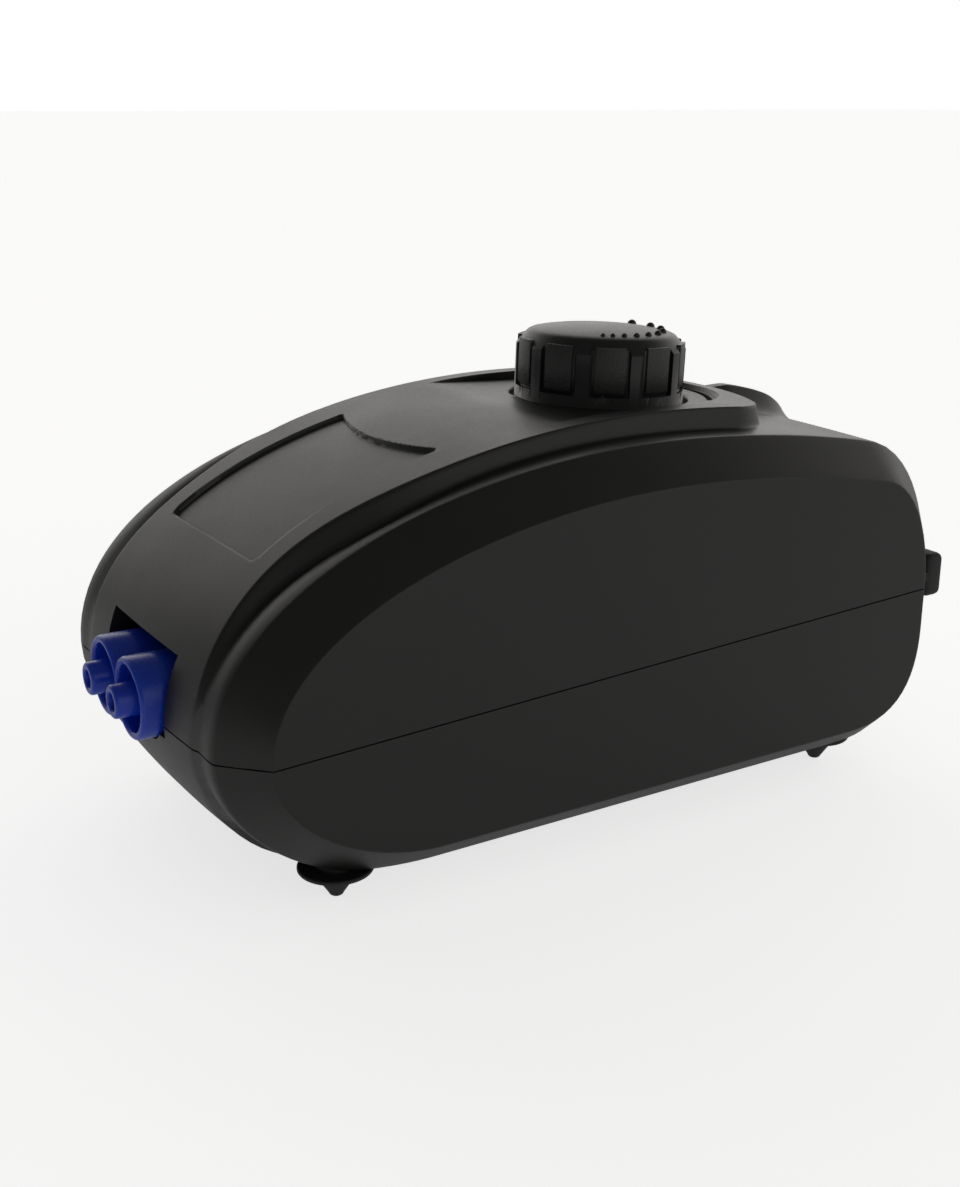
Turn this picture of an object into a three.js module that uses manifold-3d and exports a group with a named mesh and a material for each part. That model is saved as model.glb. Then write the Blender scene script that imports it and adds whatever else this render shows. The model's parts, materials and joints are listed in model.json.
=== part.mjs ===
// A small two-outlet aquarium air pump: a black moulded housing in two halves with a flow knob
// on top, twin outlets at the front and four rubber feet. Inside, a coil drives two magnet arms,
// and each arm works a diaphragm pump beside the side wall.
// Millimetres. +Z is up, -X is the front with the outlets, Z = 0 is the tips of the feet.
import * as THREE from "three";
import { mergeVertices } from "three/addons/utils/BufferGeometryUtils.js";
import Module from "manifold-3d";

const wasm = await Module();
wasm.setup();

// ---- Driving dimensions ----
const bodyLength = 140;
const bodyWidth = 75;
const wall = 2.2; // thickness of the housing's skin
const clearance = 0.3; // between pieces that touch
const panelBottom = 9.2; // lower edge of the flat side panels
const panelTop = 59.8; // highest point of the flat side panels
const bandRise = 6; // how far the slanted band grows past the side panel, in side view
const bandDepth = 6.5; // how far it reaches in from the side panel
const baseHeight = 5.5; // underside of the housing above the table
const partingHeight = 30.8; // the joint between the two halves, at the middle of the length
const partingSlope = 0.0436; // it climbs towards the rear
const seamGap = 0.4;
const deckRise = 3.2; // raised deck over the top of the housing
const deckWidth = 49;
const deckBehindKnob = 17; // the deck ends this far behind the knob's axis
const labelDepth = 0.8;
const knobSetback = 52.5; // knob axis from the rear end
const knobDiameter = 30;
const knobHeight = 12.4;
const knobTilt = 2.5; // degrees, leaning back with the deck
const knobWellGap = 0.9;
const padCount = 10;
const shaftDiameter = 6;
const outletSpacing = 11.5;
const outletCup = 13.2;
const outletWall = 1.3;
const nippleDiameter = 5.4;
const nippleBore = 3;
const outletHeight = 30.3;
const outletTip = 6.6; // how far the nipples stand out past the front end
const pocketDepth = 5.8; // the outlets' pocket in the front end
const pocketWall = 1;
const bushTip = 9.4; // how far the cord bush stands out past the rear end
const bushSide = -24;
const bushHeight = 31.5;
const cordBore = 5;
const footInset = 20; // foot axis from each end
const footSide = 27.1;
const tubeDiameter = 5.6;
const tubeBore = 3.6;
const pivotInset = 16; // arm hinge from the front end
const pumpInset = 39.5; // near edge of the round pumps from the front end
const coreSetback = 37; // coil axis from the rear end
const pumpDiameter = 31;
const pumpHeight = 27.5;
const pumpSideRoom = 0.8; // between the pumps and the side walls
const armHeight = 14;
const armThickness = 1.6;
const magnetSize = [10, 3, 15];
const magnetGap = 2.4;
const coreSection = [11, 13];
const boardSize = [44, 34, 1.6];

// ---- Places worked out from them ----
const front = -bodyLength / 2;
const rear = bodyLength / 2;
const side = bodyWidth / 2;
const innerSide = side - wall;
const knobX = rear - knobSetback;
const pivotX = front + pivotInset;
const deckRearX = knobX + deckBehindKnob;
const pumpX = front + pumpInset + pumpDiameter / 2;
const coreX = rear - coreSetback;
const footX = rear - footInset;
const floorZ = baseHeight + wall;
const partingAt = (x) => partingHeight + partingSlope * x;

// Layers of one pump, outwards from the arm to the side wall.
const pumpBottom = pumpHeight - pumpDiameter / 2;
const bandInside = innerSide + ((pumpBottom - panelBottom - wall) * bandDepth) / bandRise;
const coverOuter = Math.min(innerSide - pumpSideRoom, bandInside - clearance); // clear of the band too
const coverThickness = 4;
const chamberDepth = 6;
const chamberOuter = coverOuter - coverThickness - clearance;
const chamberInner = chamberOuter - chamberDepth;
const rimThickness = 1.2;
const rimInner = chamberInner - clearance - rimThickness;
const armOuter = chamberInner - 4.6;
const armInner = armOuter - armThickness;
const armY = (armOuter + armInner) / 2;
const magnetOuter = armInner - clearance;
const magnetInner = magnetOuter - magnetSize[1];
const coreHalf = magnetInner - magnetGap;
const spigotRadius = tubeBore / 2 - clearance; // what the air tubes push onto
const spigotLength = 6;
const portY = coverOuter + pumpSideRoom - tubeDiameter / 2 - clearance; // the pumps' spigots
const pivotRadius = 3.4;
const pivotBottom = pumpHeight - armHeight / 2 - 4;

// ---- From three.js geometry to solids and back ----
function solid(geometry) {
  const bare = geometry.clone();
  bare.deleteAttribute("normal");
  bare.deleteAttribute("uv");
  const merged = mergeVertices(bare, 1e-4);
  const triVerts = new Uint32Array(merged.index.array);
  const vertProperties = merged.attributes.position.array;
  const made = new wasm.Manifold(new wasm.Mesh({ numProp: 3, vertProperties, triVerts }));
  if (made.volume() > 0) return made;
  triVerts.reverse(); // a profile drawn the other way round faces inwards
  return new wasm.Manifold(new wasm.Mesh({ numProp: 3, vertProperties, triVerts }));
}

function geometryOf(body) {
  const mesh = body.getMesh();
  const geometry = new THREE.BufferGeometry();
  const points = new Float32Array(mesh.numVert * 3);
  for (let i = 0; i < mesh.numVert; i++) {
    points.set(mesh.vertProperties.subarray(i * mesh.numProp, i * mesh.numProp + 3), i * 3);
  }
  geometry.setAttribute("position", new THREE.BufferAttribute(points, 3));
  geometry.setIndex(new THREE.BufferAttribute(mesh.triVerts, 1));
  const flat = geometry.toNonIndexed();
  flat.computeVertexNormals();
  return flat;
}

const joined = (...bodies) => bodies.reduce((a, b) => a.add(b));
const cut = (body, ...tools) => tools.reduce((a, b) => a.subtract(b), body);

// ---- Simple solids ----
function box(x0, x1, y0, y1, z0, z1) {
  const geometry = new THREE.BoxGeometry(x1 - x0, y1 - y0, z1 - z0);
  return solid(geometry.translate((x0 + x1) / 2, (y0 + y1) / 2, (z0 + z1) / 2));
}

// A cylinder or cone between two heights, upright.
function rod(radius, z0, z1, x = 0, y = 0, sides = 24, endRadius = radius) {
  const geometry = new THREE.CylinderGeometry(endRadius, radius, z1 - z0, sides);
  return solid(geometry.rotateX(Math.PI / 2).translate(x, y, (z0 + z1) / 2));
}

// The same, lying along Y or along X.
function rodY(radius, y0, y1, x, z, sides = 24, endRadius = radius) {
  const geometry = new THREE.CylinderGeometry(endRadius, radius, Math.abs(y1 - y0), sides);
  if (y1 < y0) geometry.rotateX(Math.PI);
  return solid(geometry.translate(x, (y0 + y1) / 2, z));
}

function rodX(radius, x0, x1, y, z, sides = 24, endRadius = radius) {
  const geometry = new THREE.CylinderGeometry(endRadius, radius, x1 - x0, sides);
  return solid(geometry.rotateZ(-Math.PI / 2).translate((x0 + x1) / 2, y, z));
}

// A turned piece about the upright axis, from its [radius, height] profile.
function turned(profile, sides = 32) {
  const points = profile.map(([r, z]) => new THREE.Vector2(r, z));
  return solid(new THREE.LatheGeometry(points, sides).rotateX(Math.PI / 2));
}

// A plan outline raised from z0 to z1.
function slab(shape, z0, z1) {
  const geometry = new THREE.ExtrudeGeometry(shape, {
    depth: z1 - z0,
    bevelEnabled: false,
    curveSegments: 8,
  });
  return solid(geometry.translate(0, 0, z0));
}

// A tube or lead along a smooth curve.
function piped(points, section, steps) {
  const path = new THREE.CatmullRomCurve3(points.map((p) => new THREE.Vector3(...p)));
  return solid(new THREE.ExtrudeGeometry(section, {
    steps,
    extrudePath: path,
    bevelEnabled: false,
    curveSegments: 4,
  }));
}

function disc(radius, hole = 0) {
  const shape = new THREE.Shape().absarc(0, 0, radius, 0, 2 * Math.PI);
  if (hole) shape.holes.push(new THREE.Path().absarc(0, 0, hole, 0, 2 * Math.PI, true));
  return shape;
}

// ---- The housing's form ----
// The outline of the flat side panel, in side view.
function panelOutline() {
  const nose = front + bandRise;
  const tail = rear - bandRise;
  const shape = new THREE.Shape();
  shape.moveTo(nose, 28);
  shape.bezierCurveTo(nose, 48, nose + 35, panelTop, nose + 70, panelTop);
  shape.bezierCurveTo(tail - 43, panelTop, tail - 26, panelTop - 1.9, tail - 11, panelTop - 5);
  shape.bezierCurveTo(tail - 4.4, panelTop - 6.4, tail, panelTop - 15.8, tail, panelTop - 25.8);
  shape.lineTo(tail, 26);
  shape.bezierCurveTo(tail, 12, tail - 8, panelBottom, tail - 16, panelBottom);
  shape.lineTo(nose + 28, panelBottom);
  shape.bezierCurveTo(nose + 13.5, panelBottom, nose, 18.3, nose, 28);
  return shape;
}

// The housing's outer form, or its inside when drawn in by an inset.
function housingForm(inset, curveSegments) {
  const depth = 2 * (side - bandDepth - inset);
  const geometry = new THREE.ExtrudeGeometry(panelOutline(), {
    depth,
    bevelThickness: bandDepth,
    bevelSize: bandRise,
    bevelOffset: -inset,
    bevelSegments: 1,
    curveSegments,
  });
  const body = solid(geometry.rotateX(Math.PI / 2).translate(0, depth / 2, 0));
  const base = box(front - 5, rear + 5, -side - 5, side + 5, baseHeight + inset, 2 * panelTop);
  return body.intersect(base);
}

// The deck's top surface: the same outline grown, and slid back so that it starts flush at the front.
function deckForm(rise, halfWidth) {
  const geometry = new THREE.ExtrudeGeometry(panelOutline(), {
    depth: 2 * halfWidth - 2 * rise,
    bevelThickness: rise,
    bevelSize: rise,
    bevelOffset: bandRise,
    bevelSegments: 1,
    curveSegments: 8,
  });
  return solid(geometry.rotateX(Math.PI / 2).translate(rise, halfWidth - rise, 0));
}

// The deck in plan: nearly parallel sides and a bowed rear edge with round corners.
function deckPlan(halfWidth, back, corner) {
  const shape = new THREE.Shape();
  shape.moveTo(front - 2, -halfWidth + 1.5);
  shape.quadraticCurveTo(front + 22, -halfWidth + 4, front + 44, -halfWidth);
  shape.lineTo(back - corner, -halfWidth);
  shape.quadraticCurveTo(back - 0.5, -halfWidth, back, -halfWidth + corner);
  shape.quadraticCurveTo(back + 14, 0, back, halfWidth - corner);
  shape.quadraticCurveTo(back - 0.5, halfWidth, back - corner, halfWidth);
  shape.lineTo(front + 44, halfWidth);
  shape.quadraticCurveTo(front + 22, halfWidth - 4, front - 2, halfWidth - 1.5);
  return shape;
}

// The shallow label field: straight at the front, and an arc about the knob at the back.
function labelPlan() {
  const half = deckWidth / 2 - 8;
  const reach = 45;
  const turn = Math.asin(half / reach);
  const shape = new THREE.Shape();
  shape.moveTo(front + 14, -half);
  shape.lineTo(knobX - reach * Math.cos(turn), -half);
  shape.absarc(knobX, 0, reach, Math.PI + turn, Math.PI - turn, true);
  shape.lineTo(front + 14, half);
  return shape;
}

// The lug that trails the deck towards the rear.
function tailPlan() {
  const half = 8;
  const tip = rear - 15;
  const shape = new THREE.Shape();
  shape.moveTo(deckRearX - 6, -half - 1);
  shape.lineTo(tip - 9, -half);
  shape.quadraticCurveTo(tip, -half, tip, 0);
  shape.quadraticCurveTo(tip, half, tip - 9, half);
  shape.lineTo(deckRearX - 6, half + 1);
  return shape;
}

// Height of the deck's surface at the knob, found on the form itself.
const forms = {
  outer: housingForm(0, 8),
  inner: housingForm(wall, 6),
  deck: deckForm(deckRise, deckWidth / 2),
};
const knobBaseZ = forms.deck.boundingBox().max[2] - 1.4;
const ceilingZ = forms.inner.boundingBox().max[2];

// Everything that turns or sits on the knob's leaning axis is drawn upright about the origin,
// with z = 0 on the deck, and then leant and moved by this.
const knobPlace = new THREE.Matrix4()
  .makeTranslation(knobX, 0, knobBaseZ)
  .multiply(new THREE.Matrix4().makeRotationY(THREE.MathUtils.degToRad(knobTilt)));
const leant = (body) => body.transform(knobPlace.toArray());

// Half-spaces on either side of the sloping joint.
function sideOfJoint(above) {
  const gap = seamGap / 2;
  const shape = new THREE.Shape();
  const far = above ? 2 * panelTop : -10;
  const near = above ? gap : -gap;
  shape.moveTo(front - 20, partingAt(front - 20) + near);
  shape.lineTo(rear + 20, partingAt(rear + 20) + near);
  shape.lineTo(rear + 20, far);
  shape.lineTo(front - 20, far);
  const geometry = new THREE.ExtrudeGeometry(shape, { depth: 2 * bodyWidth, bevelEnabled: false });
  return solid(geometry.rotateX(Math.PI / 2).translate(0, bodyWidth, 0));
}

const corners = [[-1, -1], [-1, 1], [1, -1], [1, 1]].map(([i, j]) => [i * footX, j * footSide]);
const screw = { shank: 1.6, head: 3.2, headHeight: 2, length: 22, counterbore: 4, boss: 4.2 };
screw.headTop = baseHeight + 7;

// Screw columns in the upper half, down to the joint, and their pilot holes.
function upperColumns() {
  return joined(...corners.map(([x, y]) =>
    rod(screw.boss, partingAt(x) + seamGap, panelTop, x, y).intersect(forms.outer)));
}

// The outlets' pocket, grown for its walls, from one distance past the front end to another.
function pocketForm(grow, from, to) {
  const half = (outletSpacing + outletCup + 1.4) / 2 + grow;
  const low = outletHeight - outletCup / 2 - 0.6 - grow;
  const high = outletHeight + outletCup / 2 + 2 + grow;
  const shape = new THREE.Shape();
  shape.moveTo(-half, low);
  shape.lineTo(half, low);
  shape.lineTo(half + 1, high);
  shape.lineTo(-half - 1, high);
  const geometry = new THREE.ExtrudeGeometry(shape, { depth: to - from, bevelEnabled: false });
  geometry.rotateX(Math.PI / 2).rotateZ(Math.PI / 2);
  return solid(geometry.translate(front + from, 0, 0));
}

const outletPocket = () => pocketForm(0, -6, pocketDepth);
const pocketWalls = () => pocketForm(pocketWall, 0, pocketDepth + pocketWall).intersect(forms.outer);

// The cups come out through round holes in the pocket's back wall.
function cupHoles() {
  return [-1, 1].map((i) => rodX(outletCup / 2 + clearance, front, front + pocketDepth + pocketWall + 1,
    (i * outletSpacing) / 2, outletHeight, 32));
}

// The room that the cord bush takes in both halves of the rear wall.
function bushSeat(grow) {
  const half = 4.2 + grow;
  const wallX = rear - wall;
  return box(wallX - 3.5 - grow, rear + 4, bushSide - half, bushSide + half,
    bushHeight - half, bushHeight + half);
}

function upperHousing() {
  const inDeck = slab(deckPlan(deckWidth / 2, deckRearX, 6), partingHeight, 2 * panelTop);
  const deck = forms.deck.intersect(inDeck);
  const inTail = slab(tailPlan(), ceilingZ - 8, 2 * panelTop);
  const tail = deckForm(deckRise - 0.7, deckWidth / 2).intersect(inTail);
  const label = cut(slab(labelPlan(), partingHeight, 2 * panelTop),
    deckForm(deckRise - labelDepth, deckWidth / 2));
  const well = leant(rod(knobDiameter / 2 + knobWellGap, -1.2, 20, 0, 0, 40));
  const shaftHole = leant(rod(shaftDiameter / 2 + 1.2, -12, 1, 0, 0, 24));
  const nutRoom = leant(rod(6.5, -2.6, 1, 0, 0, 24));
  const outside = cut(joined(forms.outer, deck, tail), label, well);
  const hollow = cut(forms.inner, upperColumns(), leant(deckPad()), boardPosts(), pocketWalls());
  let body = cut(outside, hollow, shaftHole, nutRoom, outletPocket(), ...cupHoles(), bushSeat(clearance));
  body = body.intersect(sideOfJoint(true));
  const pilots = corners.map(([x, y]) =>
    rod(screw.shank, partingAt(x) - 5, screw.headTop + screw.length + 1, x, y, 12));
  const boardPilots = boardScrewPlaces().map(([x, y]) =>
    leant(rod(0.9, boardTop(), boardTop() + 6, x, y, 10)));
  return cut(body, ...pilots, ...boardPilots);
}

// A thick pad under the deck that the control is bolted to.
function deckPad() {
  return rod(11, -8, 0, 0, 0, 32);
}

// ---- Control: board and rotary control under the deck, knob above it ----
const control = { bodyTop: -8 - clearance, bodyHeight: 6.5, bodyRadius: 8 };
const boardTop = () => control.bodyTop - control.bodyHeight - clearance;
const boardScrewPlaces = () => [[-1, -1], [1, 1]].map(([i, j]) =>
  [i * (boardSize[0] / 2 - 4), j * (boardSize[1] / 2 - 4)]);

function boardPosts() {
  const posts = boardScrewPlaces().map(([x, y]) => rod(2.6, boardTop() + clearance, 2, x, y, 16));
  return leant(joined(...posts));
}

function knob() {
  const radius = knobDiameter / 2;
  const ring = 1.9; // plain base ring under the pads
  const skirt = radius - 1.1;
  const lift = -0.6;
  const outside = turned([
    [0, lift], [radius, lift], [radius, ring], [skirt, ring + 0.3], [skirt, knobHeight - 2.8],
    [radius - 2.2, knobHeight - 1.8], [radius * 0.55, knobHeight - 0.5], [0, knobHeight],
  ], 40);
  const step = (2 * Math.PI) / padCount;
  const pads = [];
  for (let i = 0; i < padCount; i++) {
    const half = 2.8;
    const shape = new THREE.Shape();
    shape.moveTo(skirt - 1.5, -half - 0.7);
    shape.lineTo(skirt, -half - 0.7);
    shape.lineTo(radius + 0.05, -half);
    shape.lineTo(radius + 0.05, half);
    shape.lineTo(skirt, half + 0.7);
    shape.lineTo(skirt - 1.5, half + 0.7);
    pads.push(slab(shape, ring - 0.5, knobHeight - 2.4).rotate([0, 0, (i * step * 180) / Math.PI]));
  }
  const under = cut(rod(radius - 2.6, lift - 1, knobHeight - 4, 0, 0, 40),
    rod(5, 1, knobHeight, 0, 0, 24));
  const bore = flatted(shaftDiameter / 2 + clearance / 2, lift - 1, knobHeight - 3.4, clearance / 2);
  return leant(cut(joined(outside, ...pads), under, bore));
}

// A round with one flat, the shape of the control shaft's end and of the bore that takes it.
function flatted(radius, z0, z1, gap) {
  const flat = shaftDiameter / 2 - 1.5 + gap;
  return cut(rod(radius, z0, z1, 0, 0, 24), box(flat, radius + 1, -radius - 1, radius + 1, z0 - 1, z1 + 1));
}

function controlShaft() {
  const tip = flatted(shaftDiameter / 2, 0.4, knobHeight - 3.4 - clearance, 0);
  return leant(joined(tip, rod(shaftDiameter / 2, control.bodyTop + clearance - 4, 0.4, 0, 0, 24)));
}

function controlBody() {
  const { bodyTop, bodyHeight, bodyRadius } = control;
  const neck = rod(shaftDiameter / 2 + 1, bodyTop - 1, -0.3, 0, 0, 24);
  const can = rod(bodyRadius, bodyTop - bodyHeight, bodyTop, 0, 0, 24);
  const under = bodyTop - bodyHeight;
  const terminals = box(-5, 5, bodyRadius - 2, bodyRadius + 3, under, under + 1.5);
  const bore = rod(shaftDiameter / 2 + 0.06, bodyTop - 4.2 + clearance, 1, 0, 0, 24);
  return leant(cut(joined(neck, can, terminals), bore));
}

function controlNut() {
  const hex = rod(5.4, -2.3, -0.7, 0, 0, 6);
  return leant(cut(hex, rod(shaftDiameter / 2 + 1 + clearance, -4, 1, 0, 0, 24)));
}

function circuitBoard() {
  const [length, width, thick] = boardSize;
  const top = boardTop();
  const plate = box(-length / 2, length / 2, -width / 2, width / 2, top - thick, top);
  const holes = boardScrewPlaces().map(([x, y]) => rod(1.5, top - thick - 1, top + 1, x, y, 12));
  return leant(cut(plate, ...holes));
}

function boardScrew([x, y]) {
  const under = boardTop() - boardSize[2] - clearance;
  const head = rod(2.4, under - 1.4, under, x, y, 16);
  return leant(joined(head, rod(0.75, under - 0.5, boardTop() + 5, x, y, 10)));
}

function boardCapacitor() {
  const under = boardTop() - boardSize[2] - clearance;
  return leant(rod(4, under - 6, under, -15, 7, 24));
}

function boardSwitch() {
  const under = boardTop() - boardSize[2] - clearance;
  const tab = box(12, 13.2, -11, -1, under - 7, under);
  return leant(joined(tab, box(9.4, 12.4, -11, -1, under - 5.5, under)));
}

// ---- Outlets ----
const outletTipX = front - outletTip;
const cupFrontX = outletTipX + 2.6;
const plateX = front + pocketDepth + pocketWall + clearance + 1.6; // back of the outlet piece's plate
const innerNippleX = plateX + spigotLength;

function outletNozzle() {
  const sides = [-outletSpacing / 2, outletSpacing / 2];
  const cups = sides.map((y) => rodX(outletCup / 2, cupFrontX, plateX, y, outletHeight, 24));
  const inCup = outletCup / 2 - outletWall;
  const hollows = sides.map((y) => rodX(inCup, cupFrontX - 1, plateX - 1.6, y, outletHeight, 24));
  const nipples = sides.map((y) => rodX(nippleDiameter / 2, outletTipX, plateX, y, outletHeight, 16));
  const bores = sides.map((y) => rodX(nippleBore / 2, outletTipX - 1, plateX - 1, y, outletHeight, 12));
  const spigots = sides.map((y) => rodX(spigotRadius, plateX - 1, innerNippleX, y, outletHeight, 12));
  const ways = sides.map((y) => rodX(spigotRadius - 0.7, plateX - 2, innerNippleX + 1, y, outletHeight, 8));
  const width = outletSpacing + outletCup;
  const low = outletHeight - outletCup / 2;
  const plate = box(plateX - 1.6, plateX, -width / 2, width / 2, low, outletHeight + outletCup / 2 + 1.2);
  return cut(joined(cut(joined(...cups), ...hollows), plate, ...nipples, ...spigots), ...bores, ...ways);
}

// ---- Cord bush ----
function cordBush() {
  const half = 4.2;
  const tip = rear + bushTip;
  const outer = tip - 6.6;
  const inside = rear - wall - 3.5;
  const flange = box(inside, rear - wall - clearance, bushSide - half, bushSide + half,
    bushHeight - half, bushHeight + half);
  const neck = box(inside, outer, bushSide - 3.4, bushSide + 3.4, bushHeight - 3.6, bushHeight + 3.6);
  const lip = box(rear + 0.8, outer, bushSide - half, bushSide + half,
    bushHeight - half, bushHeight + half);
  const web = box(outer - 1, outer + 3.4, bushSide - half, bushSide + half, bushHeight - 1, bushHeight + 1);
  const block = joined(
    box(outer + 2.4, tip - 2, bushSide - half, bushSide + half, bushHeight - half, bushHeight + half),
    box(tip - 3, tip, bushSide - half, bushSide + half, bushHeight - 2.6, bushHeight + 2.6));
  return cut(joined(flange, neck, lip, web, block),
    rodX(cordBore / 2, inside - 1, tip + 1, bushSide, bushHeight, 16));
}

// ---- Feet and housing screws ----
function foot([x, y]) {
  const cone = turned([
    [0, 0], [1.2, 0], [3.9, 4.4], [5.9, 4.5], [6, 4.7], [6, baseHeight - clearance],
    [3.3, baseHeight - clearance], [3.3, baseHeight + 3], [0, baseHeight + 3],
  ], 16);
  return cone.translate([x, y, 0]);
}

function housingScrew([x, y]) {
  const head = rod(screw.head, screw.headTop - screw.headHeight, screw.headTop, x, y, 16);
  const drive = joined(box(x - 0.4, x + 0.4, y - 2, y + 2, 0, screw.headTop - 1),
    box(x - 2, x + 2, y - 0.4, y + 0.4, 0, screw.headTop - 1));
  const shankTop = screw.headTop + screw.length;
  const shank = rod(screw.shank - clearance / 2, screw.headTop - 0.5, shankTop, x, y, 12);
  return cut(joined(head, shank), drive);
}

// ---- Lower half ----
// Screw columns in the lower half, each on a round pad that its foot stands against.
function lowerColumns() {
  return joined(...corners.map(([x, y]) =>
    joined(rod(5, baseHeight, partingAt(x) - seamGap, x, y),
      rod(6.8, baseHeight, baseHeight + 3.5, x, y))));
}

const filter = { x: -4, length: 26, width: 22, depth: 5 };

function pivotSocket(sign) {
  const y = sign * armY;
  return cut(box(pivotX - 7, pivotX + 7, y - 6, y + 6, baseHeight, pumpHeight - armHeight / 2 + 4),
    rod(pivotRadius + clearance, pivotBottom - clearance, 60, pivotX, y, 20),
    box(pivotX, pivotX + 8, y - 2, y + 2, pumpHeight - armHeight / 2 - 1, 60));
}

// A cradle that the round pump body sits in.
function pumpCradle(sign) {
  const y0 = chamberInner + 0.5;
  const y1 = chamberOuter - 0.5;
  const block = box(pumpX - 12, pumpX + 12, Math.min(sign * y0, sign * y1),
    Math.max(sign * y0, sign * y1), baseHeight, pumpHeight - 6);
  return cut(block, rodY(pumpDiameter / 2 + clearance, -side, side, pumpX, pumpHeight, 40));
}

const clampFootX = 19;

function corePosts() {
  return joined(...[-1, 1].map((i) =>
    rod(4, baseHeight, clampFootZ() - clearance, coreX + i * clampFootX, 0, 20)));
}

function intakeSlots() {
  const bars = [];
  for (let i = -3; i <= 3; i++) {
    bars.push(box(filter.x + i * 3.4 - 0.8, filter.x + i * 3.4 + 0.8, -8, 8, baseHeight - 1, floorZ + 4));
  }
  return bars;
}

function filterBay() {
  const { x, length, width } = filter;
  const top = baseHeight + filter.depth;
  return box(x - length / 2, x + length / 2, -width / 2, width / 2, baseHeight - 1, top);
}

function lowerHousing() {
  const shell = cut(forms.outer, forms.inner);
  const { x, length, width, depth } = filter;
  const bayWall = box(x - length / 2 - 1.6, x + length / 2 + 1.6, -width / 2 - 1.6, width / 2 + 1.6,
    baseHeight, baseHeight + depth + 1.4);
  const inside = joined(lowerColumns(), bayWall, corePosts(), pivotSocket(-1), pivotSocket(1),
    pumpCradle(-1), pumpCradle(1), pocketWalls()).intersect(forms.outer);
  let body = joined(shell, inside).intersect(sideOfJoint(false));
  const bores = corners.flatMap(([cx, cy]) => [
    rod(3.3 + clearance, 0, baseHeight + 3.2, cx, cy, 20),
    rod(screw.head + 0.5, 0, screw.headTop + clearance, cx, cy, 20),
    rod(screw.shank + 0.4, 0, 60, cx, cy, 12),
  ]);
  const inlets = intakeSlots().map((bar) => bar.translate([0, 0, depth]));
  const clampPilots = [-1, 1].map((i) => rod(1.1, clampFootZ() - 10, 60, coreX + i * clampFootX, 0, 12));
  return cut(body, filterBay(), ...inlets, ...bores, ...clampPilots, outletPocket(), ...cupHoles(),
    bushSeat(clearance));
}

function filterCover() {
  const { x, length, width } = filter;
  const gap = clearance;
  const plate = box(x - length / 2 + gap, x + length / 2 - gap, -width / 2 + gap, width / 2 - gap,
    baseHeight, baseHeight + 1.6);
  const pull = box(x + length / 2 - 3, x + length / 2 + 1, -3, 3, baseHeight - 1, baseHeight + 0.8);
  return cut(plate, pull, ...intakeSlots());
}

function filterFelt() {
  const { x, length, width, depth } = filter;
  const gap = 0.5;
  return box(x - length / 2 + gap, x + length / 2 - gap, -width / 2 + gap, width / 2 - gap,
    baseHeight + 1.6 + clearance, baseHeight + depth - clearance);
}

// ---- Coil ----
const bobbin = { flange: 27, thick: 1.4, tube: 1.2 };
const clampFootZ = () => pumpHeight - 9;

function coreStack() {
  const [sx, sz] = coreSection;
  const bar = box(coreX - sx / 2, coreX + sx / 2, -coreHalf, coreHalf,
    pumpHeight - sz / 2, pumpHeight + sz / 2);
  const grooves = [];
  for (let i = -4; i <= 4; i++) {
    const x = coreX + i * 1.1;
    for (const end of [-1, 1]) {
      grooves.push(box(x - 0.12, x + 0.12, end * coreHalf - 0.3, end * coreHalf + 0.3,
        pumpHeight - sz, pumpHeight + sz));
    }
  }
  return cut(bar, ...grooves);
}

function coilBobbin() {
  const [sx, sz] = coreSection;
  const grow = bobbin.tube + clearance;
  const end = coreHalf - 1.2;
  const half = bobbin.flange / 2;
  const tube = box(coreX - sx / 2 - grow, coreX + sx / 2 + grow, -end, end,
    pumpHeight - sz / 2 - grow, pumpHeight + sz / 2 + grow);
  const flanges = [-1, 1].map((i) => box(coreX - half, coreX + half,
    i > 0 ? end - bobbin.thick : -end, i > 0 ? end : -end + bobbin.thick,
    pumpHeight - half, pumpHeight + half));
  const hole = box(coreX - sx / 2 - clearance, coreX + sx / 2 + clearance, -side, side,
    pumpHeight - sz / 2 - clearance, pumpHeight + sz / 2 + clearance);
  return cut(joined(tube, ...flanges), hole);
}

function roundedFrame(half, radius) {
  const shape = new THREE.Shape();
  shape.moveTo(-half + radius, -half);
  shape.lineTo(half - radius, -half);
  shape.absarc(half - radius, -half + radius, radius, -Math.PI / 2, 0);
  shape.lineTo(half, half - radius);
  shape.absarc(half - radius, half - radius, radius, 0, Math.PI / 2);
  shape.lineTo(-half + radius, half);
  shape.absarc(-half + radius, half - radius, radius, Math.PI / 2, Math.PI);
  shape.lineTo(-half, -half + radius);
  shape.absarc(-half + radius, -half + radius, radius, Math.PI, 1.5 * Math.PI);
  return shape;
}

function coilWinding() {
  const [sx, sz] = coreSection;
  const end = coreHalf - 1.2 - bobbin.thick - clearance;
  const grow = bobbin.tube + 2 * clearance;
  const outer = slab(roundedFrame(bobbin.flange / 2 - 1.6, 5), -end, end);
  const turnedOver = outer.rotate([90, 0, 0]).translate([coreX, 0, pumpHeight]);
  return cut(turnedOver, box(coreX - sx / 2 - grow, coreX + sx / 2 + grow, -side, side,
    pumpHeight - sz / 2 - grow, pumpHeight + sz / 2 + grow));
}

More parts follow.
